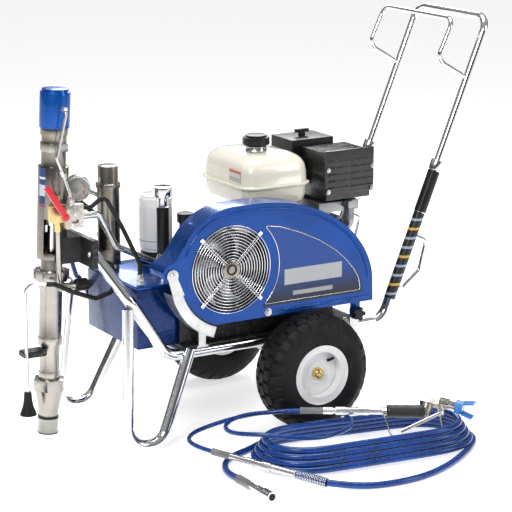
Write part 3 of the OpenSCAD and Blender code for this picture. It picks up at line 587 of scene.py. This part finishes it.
COUPLING_START, COUPLING_END = (-172, -714, 17), (-341, -416, 42)
GUN_START = (-52, -390, 100)
GUN_DIR = Vector((0.847, -0.531, 0)).normalized()
TAIL = [(-345, -560, 12), (-345, -520, 10), (-338, -482, 9), (-322, -448, 9), (-298, -418, 9), (-266, -394, 9),
        (-228, -380, 9), (-196, -367, 9), (-169, -352, 9), (-141, -340, 9), (-108, -335, 9), (-76, -338, 9),
        (-36, -343, 9), (3, -349, 9), (43, -355, 9), (72, -359, 9)]
LEAD = [(391, -568.9, 9), (370, -612, 9), (323, -658, 9), (252, -710, 9), (171, -754, 9),
        (86, -783, 9), (5, -787, 9), (-65, -776, 9), (-123, -750, 12), (-172, -714, 17)]
WHIP = [(-341, -416, 42), (-356, -385, 45), (-362, -350, 46), (-356, -316, 46), (-338, -288, 46), (-310, -268, 48),
        (-275, -256, 50), (-238, -252, 54), (-202, -256, 60), (-168, -268, 67), (-138, -290, 76), (-112, -320, 85),
        (-82, -350, 90), (-45, -368, 88), (-8, -382, 87), (28, -400, 88), (55, -425, 87), (64, -458, 77),
        (50, -490, 74), (20, -514, 72), (-16, -528, 71), (-54, -537, 71), (-92, -539, 73), (-130, -534, 77),
        (-166, -523, 82), (-200, -506, 87), (-231, -482, 89), (-256, -452, 86), (-271, -416, 81),
        (-273, -378, 78), (-259, -344, 79), (-230, -322, 83), (-194, -316, 87), (-158, -324, 90),
        (-124, -342, 93), (-88, -366, 98), (-52, -390, 100)]
COIL_HALF, COIL_TURN, TURNS = 180.0, math.radians(-8), 4.13


def coil_place(u, v, z):
    c, s = math.cos(COIL_TURN), math.sin(COIL_TURN)
    return pt(70 + u * c - v * s, -520 + u * s + v * c, z)


def coil_cross(turn):
    """Radius and height of the hose after a number of turns, from the inner top to the outer bottom."""
    if turn <= 4:
        return 99 + 10.5 * turn, 69.4 - 15.1 * turn
    r, z = coil_cross(turn - 1)
    return r + math.sqrt(18.4 ** 2 - (z - 9) ** 2), 9.0


def coil_point(turn):
    """Point on the coil, clockwise from the rear right end of its straight."""
    f = turn % 1.0
    r, z = coil_cross(turn)
    arc = 0.2558
    if f < arc:
        a = math.radians(90 - 180 * f / arc)
        return coil_place(COIL_HALF + r * math.cos(a), r * math.sin(a), z)
    if f < 0.5:
        return coil_place(COIL_HALF * (1 - 2 * (f - arc) / (0.5 - arc)), -r, z)
    if f < 0.5 + arc:
        a = math.radians(-90 - 180 * (f - 0.5) / arc)
        return coil_place(-COIL_HALF + r * math.cos(a), r * math.sin(a), z)
    return coil_place(COIL_HALF * (2 * (f - 0.5 - arc) / (0.5 - arc) - 1), r, z)


def climb():
    """The hose leaves the floor behind the coil and rides up over its turns."""
    cross = [Vector((v, z, 0)) for v, z in ((160, 9), (157, 19), (141, 43), (126, 65), (113, 73.5), (99, 69.4))]
    fine = smooth_path(cross, 8)
    out = []
    for k in range(1, 16):
        t = k / 16
        q = t * t * (3 - 2 * t)
        p = fine[round(q * (len(fine) - 1))]
        out.append(coil_place(-20 + 200 * t, p.x, p.y))
    return out


def main_hose_line():
    steps = int(TURNS * 96)
    wound = [coil_point(TURNS * k / steps) for k in range(steps + 1)]
    line = smooth_path(pts(TAIL), 6)[:-1] + climb() + wound[:-1] + smooth_path(pts(LEAD), 6)
    for _ in range(12):
        line[1:-1] = [(a + 2 * b + c) / 4 for a, b, c in zip(line, line[1:], line[2:])]
    for p in line:
        p.z = max(p.z, 9.05 * MM)
    return line


main_line = main_hose_line()
whip_line = smooth_path(pts(WHIP), 5)
main_hose = curve_object("main_hose", [main_line], 18 * MM, HOSE, resolution=6)
settle(main_hose, "root", ("hose_coil", "hose_tails"))
whip_hose = curve_object("whip_hose_line", [whip_line], 12 * MM, HOSE, resolution=6)
settle(whip_hose, "root", ("whip_hose",))


def cuff(name, at, direction, length, radius):
    """Moulded grip cuff with a ring at each end."""
    profile = [(-1, radius - 1.5), (0, radius + 0.4), (5, radius + 0.4), (6, radius), (length - 7, radius),
               (length - 6, radius + 0.5), (length - 1, radius + 0.5), (length, radius - 1.5)]
    return lathe(name, profile, at, direction, CUFF, "root", rim=0.4)


CHAIN_DIR = (Vector(COUPLING_END) - Vector(COUPLING_START)).normalized()
fittings = frame["nodes"]["hose_fittings"]
fittings.data.materials.clear()
fittings.data.materials.append(STEEL)
TAIL_END, TAIL_WAY = Vector(TAIL[0]), Vector((0, -171, 3))
tail_cuff = cuff("tail_cuff", TAIL_END, TAIL_WAY, 62, 11.3)
whip_cuff = cuff("whip_cuff", COUPLING_END, -CHAIN_DIR, 56, 9.3)
cuff("gun_cuff", GUN_START, GUN_DIR, 62, 9.0)
lathe("tail_mouth", [(0, 9.5), (0.3, 9.5), (0.6, 8.0)], TAIL_END + TAIL_WAY.normalized() * 168, TAIL_WAY, RUBBER,
      "root", rim=0)


def helix(line, radius, turns, per_turn=14):
    """Wire wound round a line, in metres."""
    total = turns * per_turn
    out = []
    for k in range(total + 1):
        t = k / total * (len(line) - 1)
        i = min(int(t), len(line) - 2)
        at = line[i].lerp(line[i + 1], t - i)
        way = (line[i + 1] - line[i]).normalized()
        side = way.cross(Vector((0, 0, 1))).normalized()
        a = 2 * math.pi * k / per_turn
        out.append(at + (side * math.cos(a) + way.cross(side) * math.sin(a)) * radius)
    return out


GUARD_LENGTH = 92
guard_line = [pt(*(Vector(COUPLING_START) + CHAIN_DIR * (GUARD_LENGTH * k / 40))) for k in range(41)]
guard_core = settle(curve_object("guard_core", [guard_line], 22.4 * MM, HOSE), "root")
spring = settle(curve_object("spring_guard", [helix(guard_line, 11.7 * MM, 19)], 2.2 * MM, STEEL, resolution=3),
                "root")

gun_grip_at = Vector(GUN_START) + GUN_DIR * 222


def dress(node, material, bevel):
    """Keeps a CAD node in view, with rounded edges and its material."""
    obj = frame["nodes"][node]
    obj.data.materials.clear()
    obj.data.materials.append(material)
    weld = obj.modifiers.new("weld", "WELD")
    weld.merge_threshold = 0.000002
    edge = obj.modifiers.new("bevel", "BEVEL")
    edge.width = bevel * MM
    edge.segments = 2
    edge.limit_method = "ANGLE"
    edge.angle_limit = math.radians(32)
    edge.harden_normals = False
    return obj


gun = dress("gun_body", NICKEL, 1.0)
gun_trigger = dress("gun_trigger", STEEL, 1.0)
tip = dress("tip_guard", TIP_BLUE, 1.2)
lathe("gun_grip", [(12, 14), (14, 17.4), (22, 18), (30, 16.8), (40, 17.8), (52, 16.6), (64, 17.6), (78, 16.5),
                   (92, 17.4), (106, 17.8), (116, 17.0), (118, 14)], gun_grip_at, GUN_DIR, GRIP, "root",
      crease=60)

# ---- cart frame ----

RAIL = [(-526, 93, 542), (-455, 173, 411), (-345, 173, 243), (358, 173, 243), (534, 173, 667)]
LEG = [(-463, 178, 392), (-490, 221, 16.1), (-388, 221, 16.1), (-280, 186, 256)]
LEAN = (Vector((534, 0, 667)) - Vector((358, 0, 243))).normalized()


def mirrored(rows, side):
    return [(x, side * y, z) for x, y, z in rows]


def on_handle(z, y):
    """Point on the leaning line of the handle tubes at a height."""
    k = (z - 667) / LEAN.z
    return (534 + LEAN.x * k, y, z)


for side, end in ((-1, "near"), (1, "far")):
    tube(f"rail_{end}", mirrored(RAIL, side), 58, 32, CHROME, "root", (f"side_rail_{end}",))
    tube(f"leg_{end}", mirrored(LEG, side), 54, 32, CHROME, "root", (f"front_leg_{end}",))

FOOT = (534 - LEAN.x * 90, 173, 667 - LEAN.z * 90)
TOP = on_handle(1094, 173)
tube("handle_tube", mirrored([FOOT, TOP], -1) + [TOP, FOOT], 43, 22, CHROME, "handle_unit",
     ("handle",))
GRIP_PATH = [on_handle(925, 173), (536, 173, 985), (590, 173, 1098)]
tube("grip_loop_tube", mirrored(GRIP_PATH, -1) + GRIP_PATH[::-1], 30, 14, CHROME, "handle_unit",
     ("grip_loop",))
LIFT = [(471, 173, 478.5), (509, 173, 462), (487, 173, 376), (428, 173, 330), (408.5, 173, 330)]
loops = curve_object("lift_loop_tubes", [arc_path(pts(mirrored(LIFT, s)), 18 * MM) for s in (-1, 1)], 12 * MM, CHROME)
settle(loops, "root", ("lift_loops",))
for node, material, bevel in (("cross_bars", CHROME, 0), ("handle_collars", CHROME, 1.5),
                              ("deck_plate", BLACK_PAINT, 1.2), ("axle", STEEL, 1.0)):
    skin(node, material, bevel)

ORANGE_MARK, GREY_MARK = (0.60, 0.36, 0.04), (0.30, 0.36, 0.46)
SLEEVE_LABEL = banded("sleeve_label", (0.012, 0.012, 0.014),
                      [(0.318 + i * 0.026, 0.325 + i * 0.026, ORANGE_MARK if i % 3 == 1 else GREY_MARK)
                       for i in range(9)])


def tube_wrap(name, a, b, radius, material, body):
    """Thin film wrapped round a straight tube, in millimetres."""
    a, b = Vector(a), Vector(b)
    length = (b - a).length
    return lathe(name, [(0, radius - 1.2), (0, radius), (length, radius), (length, radius - 1.2)], tuple(a),
                 b - a, material, body, rim=0, hollow=True)


def on_rail(z, side=-1):
    """Point on the axis of a rail's rear rise at a height."""
    return (534 - LEAN.x / LEAN.z * (667 - z), side * 173, z)


tube_wrap("sleeve_label_near", on_rail(306), on_rail(548), 16.3, SLEEVE_LABEL, "root")
for side, end in ((-1, "near"), (1, "far")):
    tube_wrap(f"sleeve_{end}", on_rail(550, side), on_rail(664, side), 17.6, BLACK_PLASTIC, "root")

# ---- wheels ----

WHEEL_X, WHEEL_Y, WHEEL_Z = 60, 269, 165
TREAD_HALF, TREAD_ROWS, TREAD_PITCHES, TREAD_DEPTH = 59, 5, 27, 7.5


def tyre_profile():
    """Outer section of a tyre from bead to bead, as (across, radius, share of tread) in millimetres."""
    side = [(-50, 76), (-56, 84), (-61, 96), (-63.2, 108), (-63, 120), (-61.6, 130)]
    crown = [TREAD_HALF * (2 * k / 50 - 1) for k in range(51)]
    out = [(y, r, 0.0) for y, r in side]
    for y in crown:
        r = WHEEL_Z - 27 * (abs(y) / TREAD_HALF) ** 3.0
        out.append((y, r, min(1.0, (61 - abs(y)) / 3)))
    return out + [(-y, r, 0.0) for y, r in reversed(side)]


def groove_depth(y, turn):
    """Depth between the staggered blocks of a turf tread."""
    rows = (y + TREAD_HALF) / (2 * TREAD_HALF) * TREAD_ROWS
    row = min(TREAD_ROWS - 1, int(rows))
    across = abs(rows - row - 0.5) * 2
    pitch = (turn * TREAD_PITCHES + (0.5 if row % 2 else 0.0) + 0.10 * math.sin(rows * math.pi)) % 1.0
    round_way = abs(pitch - 0.5) * 2
    gap = max((across - 0.80) / 0.12, (round_way - 0.72) / 0.12)
    return TREAD_DEPTH * max(0.0, min(1.0, gap))


def make_tyre(end, side):
    bm = bmesh.new()
    profile = tyre_profile()
    steps = 432
    rings = []
    for k in range(steps):
        turn = k / steps
        a = 2 * math.pi * turn
        ring = []
        for y, r, tread in profile:
            r -= groove_depth(y, turn) * tread
            ring.append(bm.verts.new(pt(WHEEL_X + r * math.cos(a), side * WHEEL_Y + y, WHEEL_Z + r * math.sin(a))))
        rings.append(ring)
    for k in range(steps):
        low, high = rings[k], rings[(k + 1) % steps]
        for i in range(len(profile) - 1):
            bm.faces.new((low[i], low[i + 1], high[i + 1], high[i]))
        bm.faces.new((low[-1], low[0], high[0], high[-1]))
    mesh_piece(f"tyre_tread_{end}", bm, [TYRE], f"wheel_{end}", (f"tyre_{end}",), 50)
    rings = [[pt(WHEEL_X + r * math.cos(a), side * (WHEEL_Y + at), WHEEL_Z + r * math.sin(a)) for a in turns(96)]
             for at, r in ((62.9, 115.0), (59.8, 92.0))]
    band = curve_object(f"tyre_band_{end}", rings, 1.8 * MM, TYRE, closed=True, resolution=2)
    settle(band, f"wheel_{end}")


def make_rim(end, side):
    def at(out, dx=0, dz=0):
        return WHEEL_X + dx, side * (WHEEL_Y + out), WHEEL_Z + dz

    body, outward = f"wheel_{end}", (0, side, 0)
    skin(f"rim_{end}", WHITE_ENAMEL, 1.6)
    dish = [(0, 64.6), (2, 64.6), (4, 58), (5.5, 50), (3.5, 44), (3.5, 34), (7, 29), (7, 25), (0, 25)]
    lathe(f"rim_dish_{end}", dish, at(25), outward, WHITE_ENAMEL, body, rim=0.8, hollow=True)
    lathe(f"valve_cap_{end}", [(0, 4.4), (16, 4.2), (22, 3.4), (23, 2.4)], at(30, 33, 31), (0.5, side * 0.85, 0.5),
          BLACK_PLASTIC, body)
    lip = [(0, 74), (0, 83), (1.6, 85.5), (4.2, 86.5), (5.2, 84), (2.6, 78), (2.4, 74)]
    lathe(f"rim_lip_{end}", lip, at(51.5), outward, WHITE_ENAMEL, body, rim=0.3, steps=96, hollow=True)


for side, end in ((-1, "near"), (1, "far")):
    make_tyre(end, side)
    make_rim(end, side)
    lathe(f"cap_dome_{end}", [(0, 12.6), (2, 12.4), (4.5, 10), (6, 6), (6.4, 2)], (WHEEL_X, side * 311.2, WHEEL_Z),
          (0, side, 0), BRASS, "root", rim=0)
skin("axle_caps", BRASS, 1.0)

# ---- hydraulic side ----

skin("reservoir", DARK_BLUE, 4.0)
skin("reservoir_lid", BLUE, 1.5)
skin("oil_filter", [WHITE_ENAMEL, BLACK_PLASTIC], 2.2, lambda p: 1 if p.z < 479 else 0)
FILTER_LABEL = banded("filter_label", (0.80, 0.81, 0.82), [(0.506, 0.509, (0.30, 0.32, 0.36))])
lathe("filter_wrap", [(0, 46.4), (0.3, 47.2), (111.7, 47.2), (112, 46.4)], (-240, 80, 494), (0, 0, 1), FILTER_LABEL,
      "root", rim=0)
skin("breather_cap", BLACK_PLASTIC, 2.5)
skin("hydraulic_pump", BLACK_CAST, 1.5)
bolts("pump_bolts", [(-183 + 44 * math.cos(a), -103, 480 + 44 * math.sin(a)) for a in (0.8, 2.4, 3.9, 5.5)],
      (0, 1, 0), 11, ZINC, "root")
skin("guard_bracket", ZINC, 0.8)
skin("guard_back_plate", BLACK_PAINT, 0.8)

# ---- belt drive ----

FAN_X, FAN_Z = -183, 480

skin("belt_guard", BLUE, 3.5, segments=4)
for node, material, bevel in (("guard_decal", FILM, 0), ("drive_belt", RUBBER, 0.8), ("engine_pulley", IRON, 0.8),
                              ("guard_knob", BLACK_PLASTIC, 1.6)):
    skin(node, material, bevel)


def oval(centre, radii, angles, y):
    """Points of an ellipse in the side view; lengths in millimetres, angles in degrees."""
    return [pt(centre[0] + radii[0] * math.cos(a), y, centre[1] + radii[1] * math.sin(a))
            for a in (math.radians(angle) for angle in angles)]


def guard_ridge():
    """Pressed bead that follows the guard's crown just inside its edge, and a second one above its foot."""
    ridge_y = -244.6
    crown = oval((-165, 488), (163, 150), [163 - 3 * k for k in range(22)], ridge_y)
    crown += oval((-100, 380), (362, 257), [90 - 2.5 * k for k in range(35)], ridge_y)
    foot = [pt(-60, ridge_y, 346), pt(262, ridge_y, 346)]
    lines = [smooth_path(crown, 3), foot]
    return settle(curve_object("guard_ridge", lines, 7 * MM, BLUE, resolution=5), "guard")


def decal_border():
    """Thin silver line just inside the edge of the decal."""
    border_y = -246.1
    line = oval((FAN_X, FAN_Z), (151, 151), [-45 + 3.4 * k for k in range(27)], border_y)
    line += [pt(x, border_y, z) for x, z in ((-70, 588), (-30, 581), (35, 558), (95, 529), (149, 495), (184, 464),
                                             (212, 431), (226, 408), (232, 385), (232, 369), (-74, 369))]
    border = curve_object("decal_border", [line], 2.2 * MM, CHROME, closed=True, resolution=2)
    return settle(border, "guard")


guard_ridge()
decal_border()


def make_grille():
    """Wire rings, crossed radial wires and clips over the fan opening."""
    full = [360 * k / 96 for k in range(96)]
    rings = [oval((FAN_X, FAN_Z), (r, r), full, -247) for r in (31 + k * 8.2 for k in range(12))]
    wires = curve_object("grille_rings", rings, 2.4 * MM, CHROME, closed=True, resolution=3)
    settle(wires, "guard", ("fan_grille",))
    spokes, clips = [], bmesh.new()
    for a in (math.radians(45 + 90 * k) for k in range(4)):
        way, across = Vector((math.cos(a), 0, math.sin(a))), Vector((-math.sin(a), 0, math.cos(a)))
        for s in (-3, 3):
            spokes.append([pt(FAN_X, -248.8, FAN_Z) + (way * r + across * s) * MM for r in (24, 127)])
        made = bmesh.ops.create_cube(clips, size=1.0)
        turn = Matrix.Rotation(-a, 4, "Y")
        shape = Matrix.Diagonal((14 * MM, 3 * MM, 11 * MM, 1))
        place = Matrix.Translation(pt(FAN_X, -248.2, FAN_Z) + way * 126 * MM)
        bmesh.ops.transform(clips, matrix=place @ turn @ shape, verts=made["verts"])
    bmesh.ops.bevel(clips, geom=clips.edges[:], offset=1.0 * MM, segments=3, affect="EDGES")
    mesh_piece("grille_clips", clips, [ZINC], "guard")
    settle(curve_object("grille_spokes", spokes, 2.6 * MM, CHROME, resolution=3), "guard")
    lathe("grille_hub", [(0, 27), (1.0, 27), (2.2, 25), (2.6, 16), (3.4, 8), (3.6, 2)], (FAN_X, -245.8, FAN_Z),
          (0, -1, 0), DARK_NICKEL, "guard", rim=0)
    ring = oval((FAN_X, FAN_Z), (13, 13), [9 * k for k in range(40)], -249.6)
    hub_ring = curve_object("grille_hub_ring", [ring], 5 * MM, BLACK_PLASTIC, closed=True, resolution=3)
    settle(hub_ring, "guard")


def make_fan():
    """Pulley with a ring of swept cooling blades."""
    profile = [(0, 28), (0, 104), (3, 104), (4, 94), (10, 92), (16, 94), (17, 104), (20, 104), (20, 60), (14, 56),
               (14, 32), (30, 28), (40, 28), (40, 10)]
    lathe("fan_disc", profile, (FAN_X, -196, FAN_Z), (0, -1, 0), FAN_BLACK, "fan", ("fan_pulley",),
          steps=96)
    bm = bmesh.new()
    for base in turns(7):
        rows = []
        for i in range(9):
            t = i / 8
            r = 30 + 72 * t
            a = base + 0.55 * t * t
            lift = 14 - 3 * t
            row = []
            for j in range(4):
                s = j / 3
                da = (s - 0.5) * (0.42 - 0.06 * t)
                depth = -217 - lift * s - 2 * math.sin(math.pi * s)
                row.append(bm.verts.new(pt(FAN_X + r * math.cos(a + da), depth, FAN_Z + r * math.sin(a + da))))
            rows.append(row)
        for low, high in zip(rows, rows[1:]):
            for j in range(3):
                bm.faces.new((low[j], low[j + 1], high[j + 1], high[j]))
    bmesh.ops.solidify(bm, geom=bm.faces[:], thickness=1.4 * MM)
    mesh_piece("fan_blades", bm, [ALU], "fan")


make_grille()
make_fan()
bolts("guard_bolts", [(-67, -245, 345)], (0, -1, 0), 15, ZINC, "guard")
bolts("deck_bolts", [(-240, -180, 265), (60, -180, 265), (225, -180, 265), (225, 180, 265), (-60, 180, 265)],
      (0, 0, 1), 12, ZINC, "root")

# ---- engine ----

skin("engine_block", ENGINE_ALU, 1.4)
skin("recoil_housing", BLACK_PLASTIC, 3.0)
skin("recoil_handle", [BLACK_PLASTIC], 2.0)
loft("tank_shell", (62, 40), [(596, 84, 112, 30), (600, 92, 122, 34), (610, 99, 129, 38), (628, 103.5, 133, 40),
                              (650, 104.5, 134, 40), (651.5, 106, 136, 42), (652, 113, 139, 46), (653, 114, 140, 46),
                              (657, 114, 140, 46), (658, 113, 139, 46), (659, 106, 136, 42), (662, 105, 134, 40),
                              (690, 104, 133, 40), (708, 101, 130, 40), (722, 94, 123, 40), (731, 84, 113, 38),
                              (738, 70, 98, 34), (742, 54, 80, 28), (744, 38, 60, 24), (746, 33, 52, 22)],
     IVORY, "root", ("fuel_tank",))
lathe("tank_neck", [(0, 30), (2, 31), (6, 29), (14, 28.5), (15, 27)], (40, 0, 744), (0, 0, 1), STEEL, "root")
skin("fuel_cap", BLACK_PLASTIC, 3.5)
cap_ribs = bmesh.new()
for a in turns(10):
    made = bmesh.ops.create_cone(cap_ribs, cap_ends=True, segments=16, radius1=5 * MM, radius2=4 * MM, depth=20 * MM)
    bmesh.ops.translate(cap_ribs, verts=made["verts"], vec=pt(40 + 34 * math.cos(a), 34 * math.sin(a), 774))
mesh_piece("fuel_cap_ribs", cap_ribs, [BLACK_PLASTIC], "fuel_cap")
TANK_LABEL = banded("tank_label", (0.62, 0.61, 0.57), [
    (0.692, 0.700, (0.55, 0.08, 0.03)), (0.676, 0.679, (0.25, 0.25, 0.25)), (0.670, 0.673, (0.25, 0.25, 0.25))])
rounded_box("tank_label_plate", (-43.6, -25, 684), (0.9, 62, 34), 0.3, TANK_LABEL, "root")

skin("muffler", MUFFLER, 4.0, segments=3)
skin("air_cleaner", BLACK_PLASTIC, 9.0, segments=4)
skin("exhaust_pipe", EXHAUST, 1.5)
bolts("muffler_screws", [(204, -124, 690), (352, -124, 690), (204, -124, 628), (352, -124, 628)], (0, -1, 0), 9, ZINC,
      "root")
bolts("head_bolts", [(326, -30, 470), (326, 45, 470)], (0.9, 0, 0.42), 12, ZINC, "root")

# ---- paint pump ----

skin("pump_mount", BLACK_CAST, 2.0)
skin("motor_cylinder", [DARK_NICKEL, NICKEL], 0.8, lambda p: 1 if 806 < p.z < 830 else 0)
skin("motor_cap", CAP_BLUE, 3.0)
skin("pump_rod", CHROME, 0.6)
skin("pump_cylinder", NICKEL, 0.8)
skin("intake_valve", [NICKEL, BLACK_PLASTIC, MESH], 0.8,
     lambda p: 0 if p.z > 74.5 else (1 if p.z > 65.5 or p.z < 27.5 else 2))
PUMP_LEAN, PUMP_PIVOT = math.radians(2.8), Vector((-600, 0, 520))


def on_pump(z):
    """Point on the leaning axis of the pump at a height along it."""
    return PUMP_PIVOT + Vector((math.sin(PUMP_LEAN), 0, math.cos(PUMP_LEAN))) * (z - PUMP_PIVOT.z)


def curved_patch(name, base, radius, span, height, thick, material, body):
    """Label that wraps part of the way round the pump; angles in degrees, lengths in millimetres."""
    bm = bmesh.new()
    rows = []
    for h in (0, height):
        for r in (radius, radius + thick):
            rows.append([bm.verts.new(Vector((r * math.cos(a), r * math.sin(a), h)) * MM)
                         for a in (math.radians(span[0] + (span[1] - span[0]) * k / 24) for k in range(25))])
    a, b, c, d = rows
    for k in range(24):
        for low, high in ((a, b), (b, d), (d, c), (c, a)):
            bm.faces.new((low[k], low[k + 1], high[k + 1], high[k]))
    for k in (0, 24):
        bm.faces.new((a[k], b[k], d[k], c[k]))
    place = Matrix.Translation(base * MM) @ Matrix.Rotation(PUMP_LEAN, 4, "Y")
    bmesh.ops.transform(bm, matrix=place, verts=bm.verts)
    return mesh_piece(name, bm, [material], body)


MOTOR_LABEL = banded("motor_label", (0.020, 0.045, 0.17), [
    (0.735, 0.741, (0.66, 0.68, 0.72)), (0.664, 0.668, (0.45, 0.05, 0.05)), (0.690, 0.720, (0.50, 0.56, 0.66))])
curved_patch("motor_label_film", on_pump(660), 41.05, (184, 214), 104, 0.5, MOTOR_LABEL, "root")
tube("drain_line", [(-699, -40, 148), (-699, -40, 462), (-640, -76, 462)], 30, 10, STEEL, "root",
     ("drain_tube",))
tube("drain_hose", [(-650, -69.9, 462), (-630, -82.1, 462), (-583, -86, 436), (-510, -80, 406), (-458, -80, 419),
                    (-458, -80, 492), (-458, -30.2, 492)], 14, 13, RUBBER, "root")
lathe("drain_bell", [(0, 23), (1.5, 23), (10, 20), (24, 15), (40, 12), (44, 11.6), (64, 10)], (-699, -40, 98),
      (0, 0, 1), RUBBER, "root")
rounded_box("drain_clamp", (-673, -22, 263.5), (66, 44, 17), 3, BLACK_PAINT, "root", segments=3)
tube("return_line", [(-580, -36, 925), (-580, -72, 925), (-612, -72, 800), (-590, -74, 742), (-575, -88, 677.5)], 12,
     9, STEEL, "root", ("return_tube",))
for name, at, way in (("return_nut_top", (-580, -42, 925), (0, -1, 0)),
                      ("return_nut_mid", (-599, -73, 766), (22, -2, -58)),
                      ("return_nut_low", (-580, -83, 698), (5, -14, -64))):
    lathe(name, [(0, 8.2), (4, 9.2), (16, 9.2), (20, 7.6), (24, 7.4)], at, way, STEEL, "root",
          steps=6, crease=20)
skin("valve_body", [BRASS, NICKEL], 1.0, lambda p: 0 if p.z > 599.5 and p.y > -76.2 else 1)
skin("valve_lever", [RED, STEEL], 1.6, lambda p: 0 if p.y < -106.5 else 1)
skin("filter_housing", [DARK_NICKEL, BLACK_CAST], 1.2, lambda p: 1 if p.x < -488.8 else 0)
lathe("filter_nut", [(0, 30), (2, 34.6), (12, 34.6), (14, 31)], (-427, 0, 689), (0, 0, 1), DARK_NICKEL, "root",
      steps=8, crease=20)
GAUGE_WAY = Vector((-0.4, -0.92, 0)).normalized()
GAUGE_AT = Vector((-500, 40, 689)) + GAUGE_WAY * 14
skin("pressure_gauge", ZINC, 1.2)
lathe("gauge_face", [(0, 30), (0.5, 30), (0.8, 29.5)], tuple(GAUGE_AT), GAUGE_WAY,
      dial_face("dial", (GAUGE_AT * MM), GAUGE_WAY), "root", rim=0)
lathe("gauge_bezel", [(0, 29.5), (0, 35.2), (3, 35.2), (4.5, 33.5), (4.5, 31), (1.0, 29.5)], tuple(GAUGE_AT),
      GAUGE_WAY, STEEL, "root", rim=0.3, hollow=True)
skin("prime_knob", BLACK_PLASTIC, 2.2)
skin("pressure_knob", [CHROME, BLACK_PLASTIC], 2.4, lambda p: 0 if p.z > 631 else 1)
tube("manifold_tube", [(-549.4, -88, 640), (-500, -88, 640), (-440, -66, 540), (-334, -60, 486), (-292, -60, 470)],
     20, 18, STEEL, "root", ("hydraulic_hoses",))
lathe("manifold_base", [(0, 20), (8, 20), (9, 18), (52, 18), (60, 15)], (-292, -60, 438), (0, 0, 1), STEEL, "root")
tube("pressure_hose", [(-549.8, -88, 662), (-522, -88, 662), (-486, -94, 690), (-440, -106, 600), (-400, -128, 500),
                       (-400, -128, 440)], 16, 12, RUBBER, "root")
tube("return_hose", [(-530, 70, 577), (-530, 70, 640), (-470, 100, 640), (-385, 76, 560), (-375, 66, 440)], 24, 14,
     RUBBER, "root")
for i, (at, way) in enumerate((((-400, -128, 438), (0, 0, 1)), ((-375, 66, 438), (0.08, 0.08, 1)),
                               ((-530, 70, 576), (0, 0, 1)))):
    lathe(f"hose_nut_{i}", [(0, 10), (3, 11.5), (16, 11.5), (18, 9), (32, 9)], at, way, ZINC, "root",
          steps=6, crease=20)

# ---- floor ----

floor_mesh = bpy.data.meshes.new("floor")
floor_mesh.from_pydata([(-30, -30, 0), (30, -30, 0), (30, 30, 0), (-30, 30, 0)], [], [(0, 1, 2, 3)])
FLOOR = surface("floor", (0.84, 0.84, 0.84), 0.6, tint=0.01, tint_scale=0.5, grain=8, grain_depth=0.00001,
                specular=0.1)
floor_shader = FLOOR.node_tree.nodes["Principled BSDF"]
floor_shader.inputs["Emission Color"].default_value = (1.0, 1.0, 1.0, 1.0)
floor_shader.inputs["Emission Strength"].default_value = 0.62
floor_mesh.materials.append(FLOOR)
add_object("floor", floor_mesh)
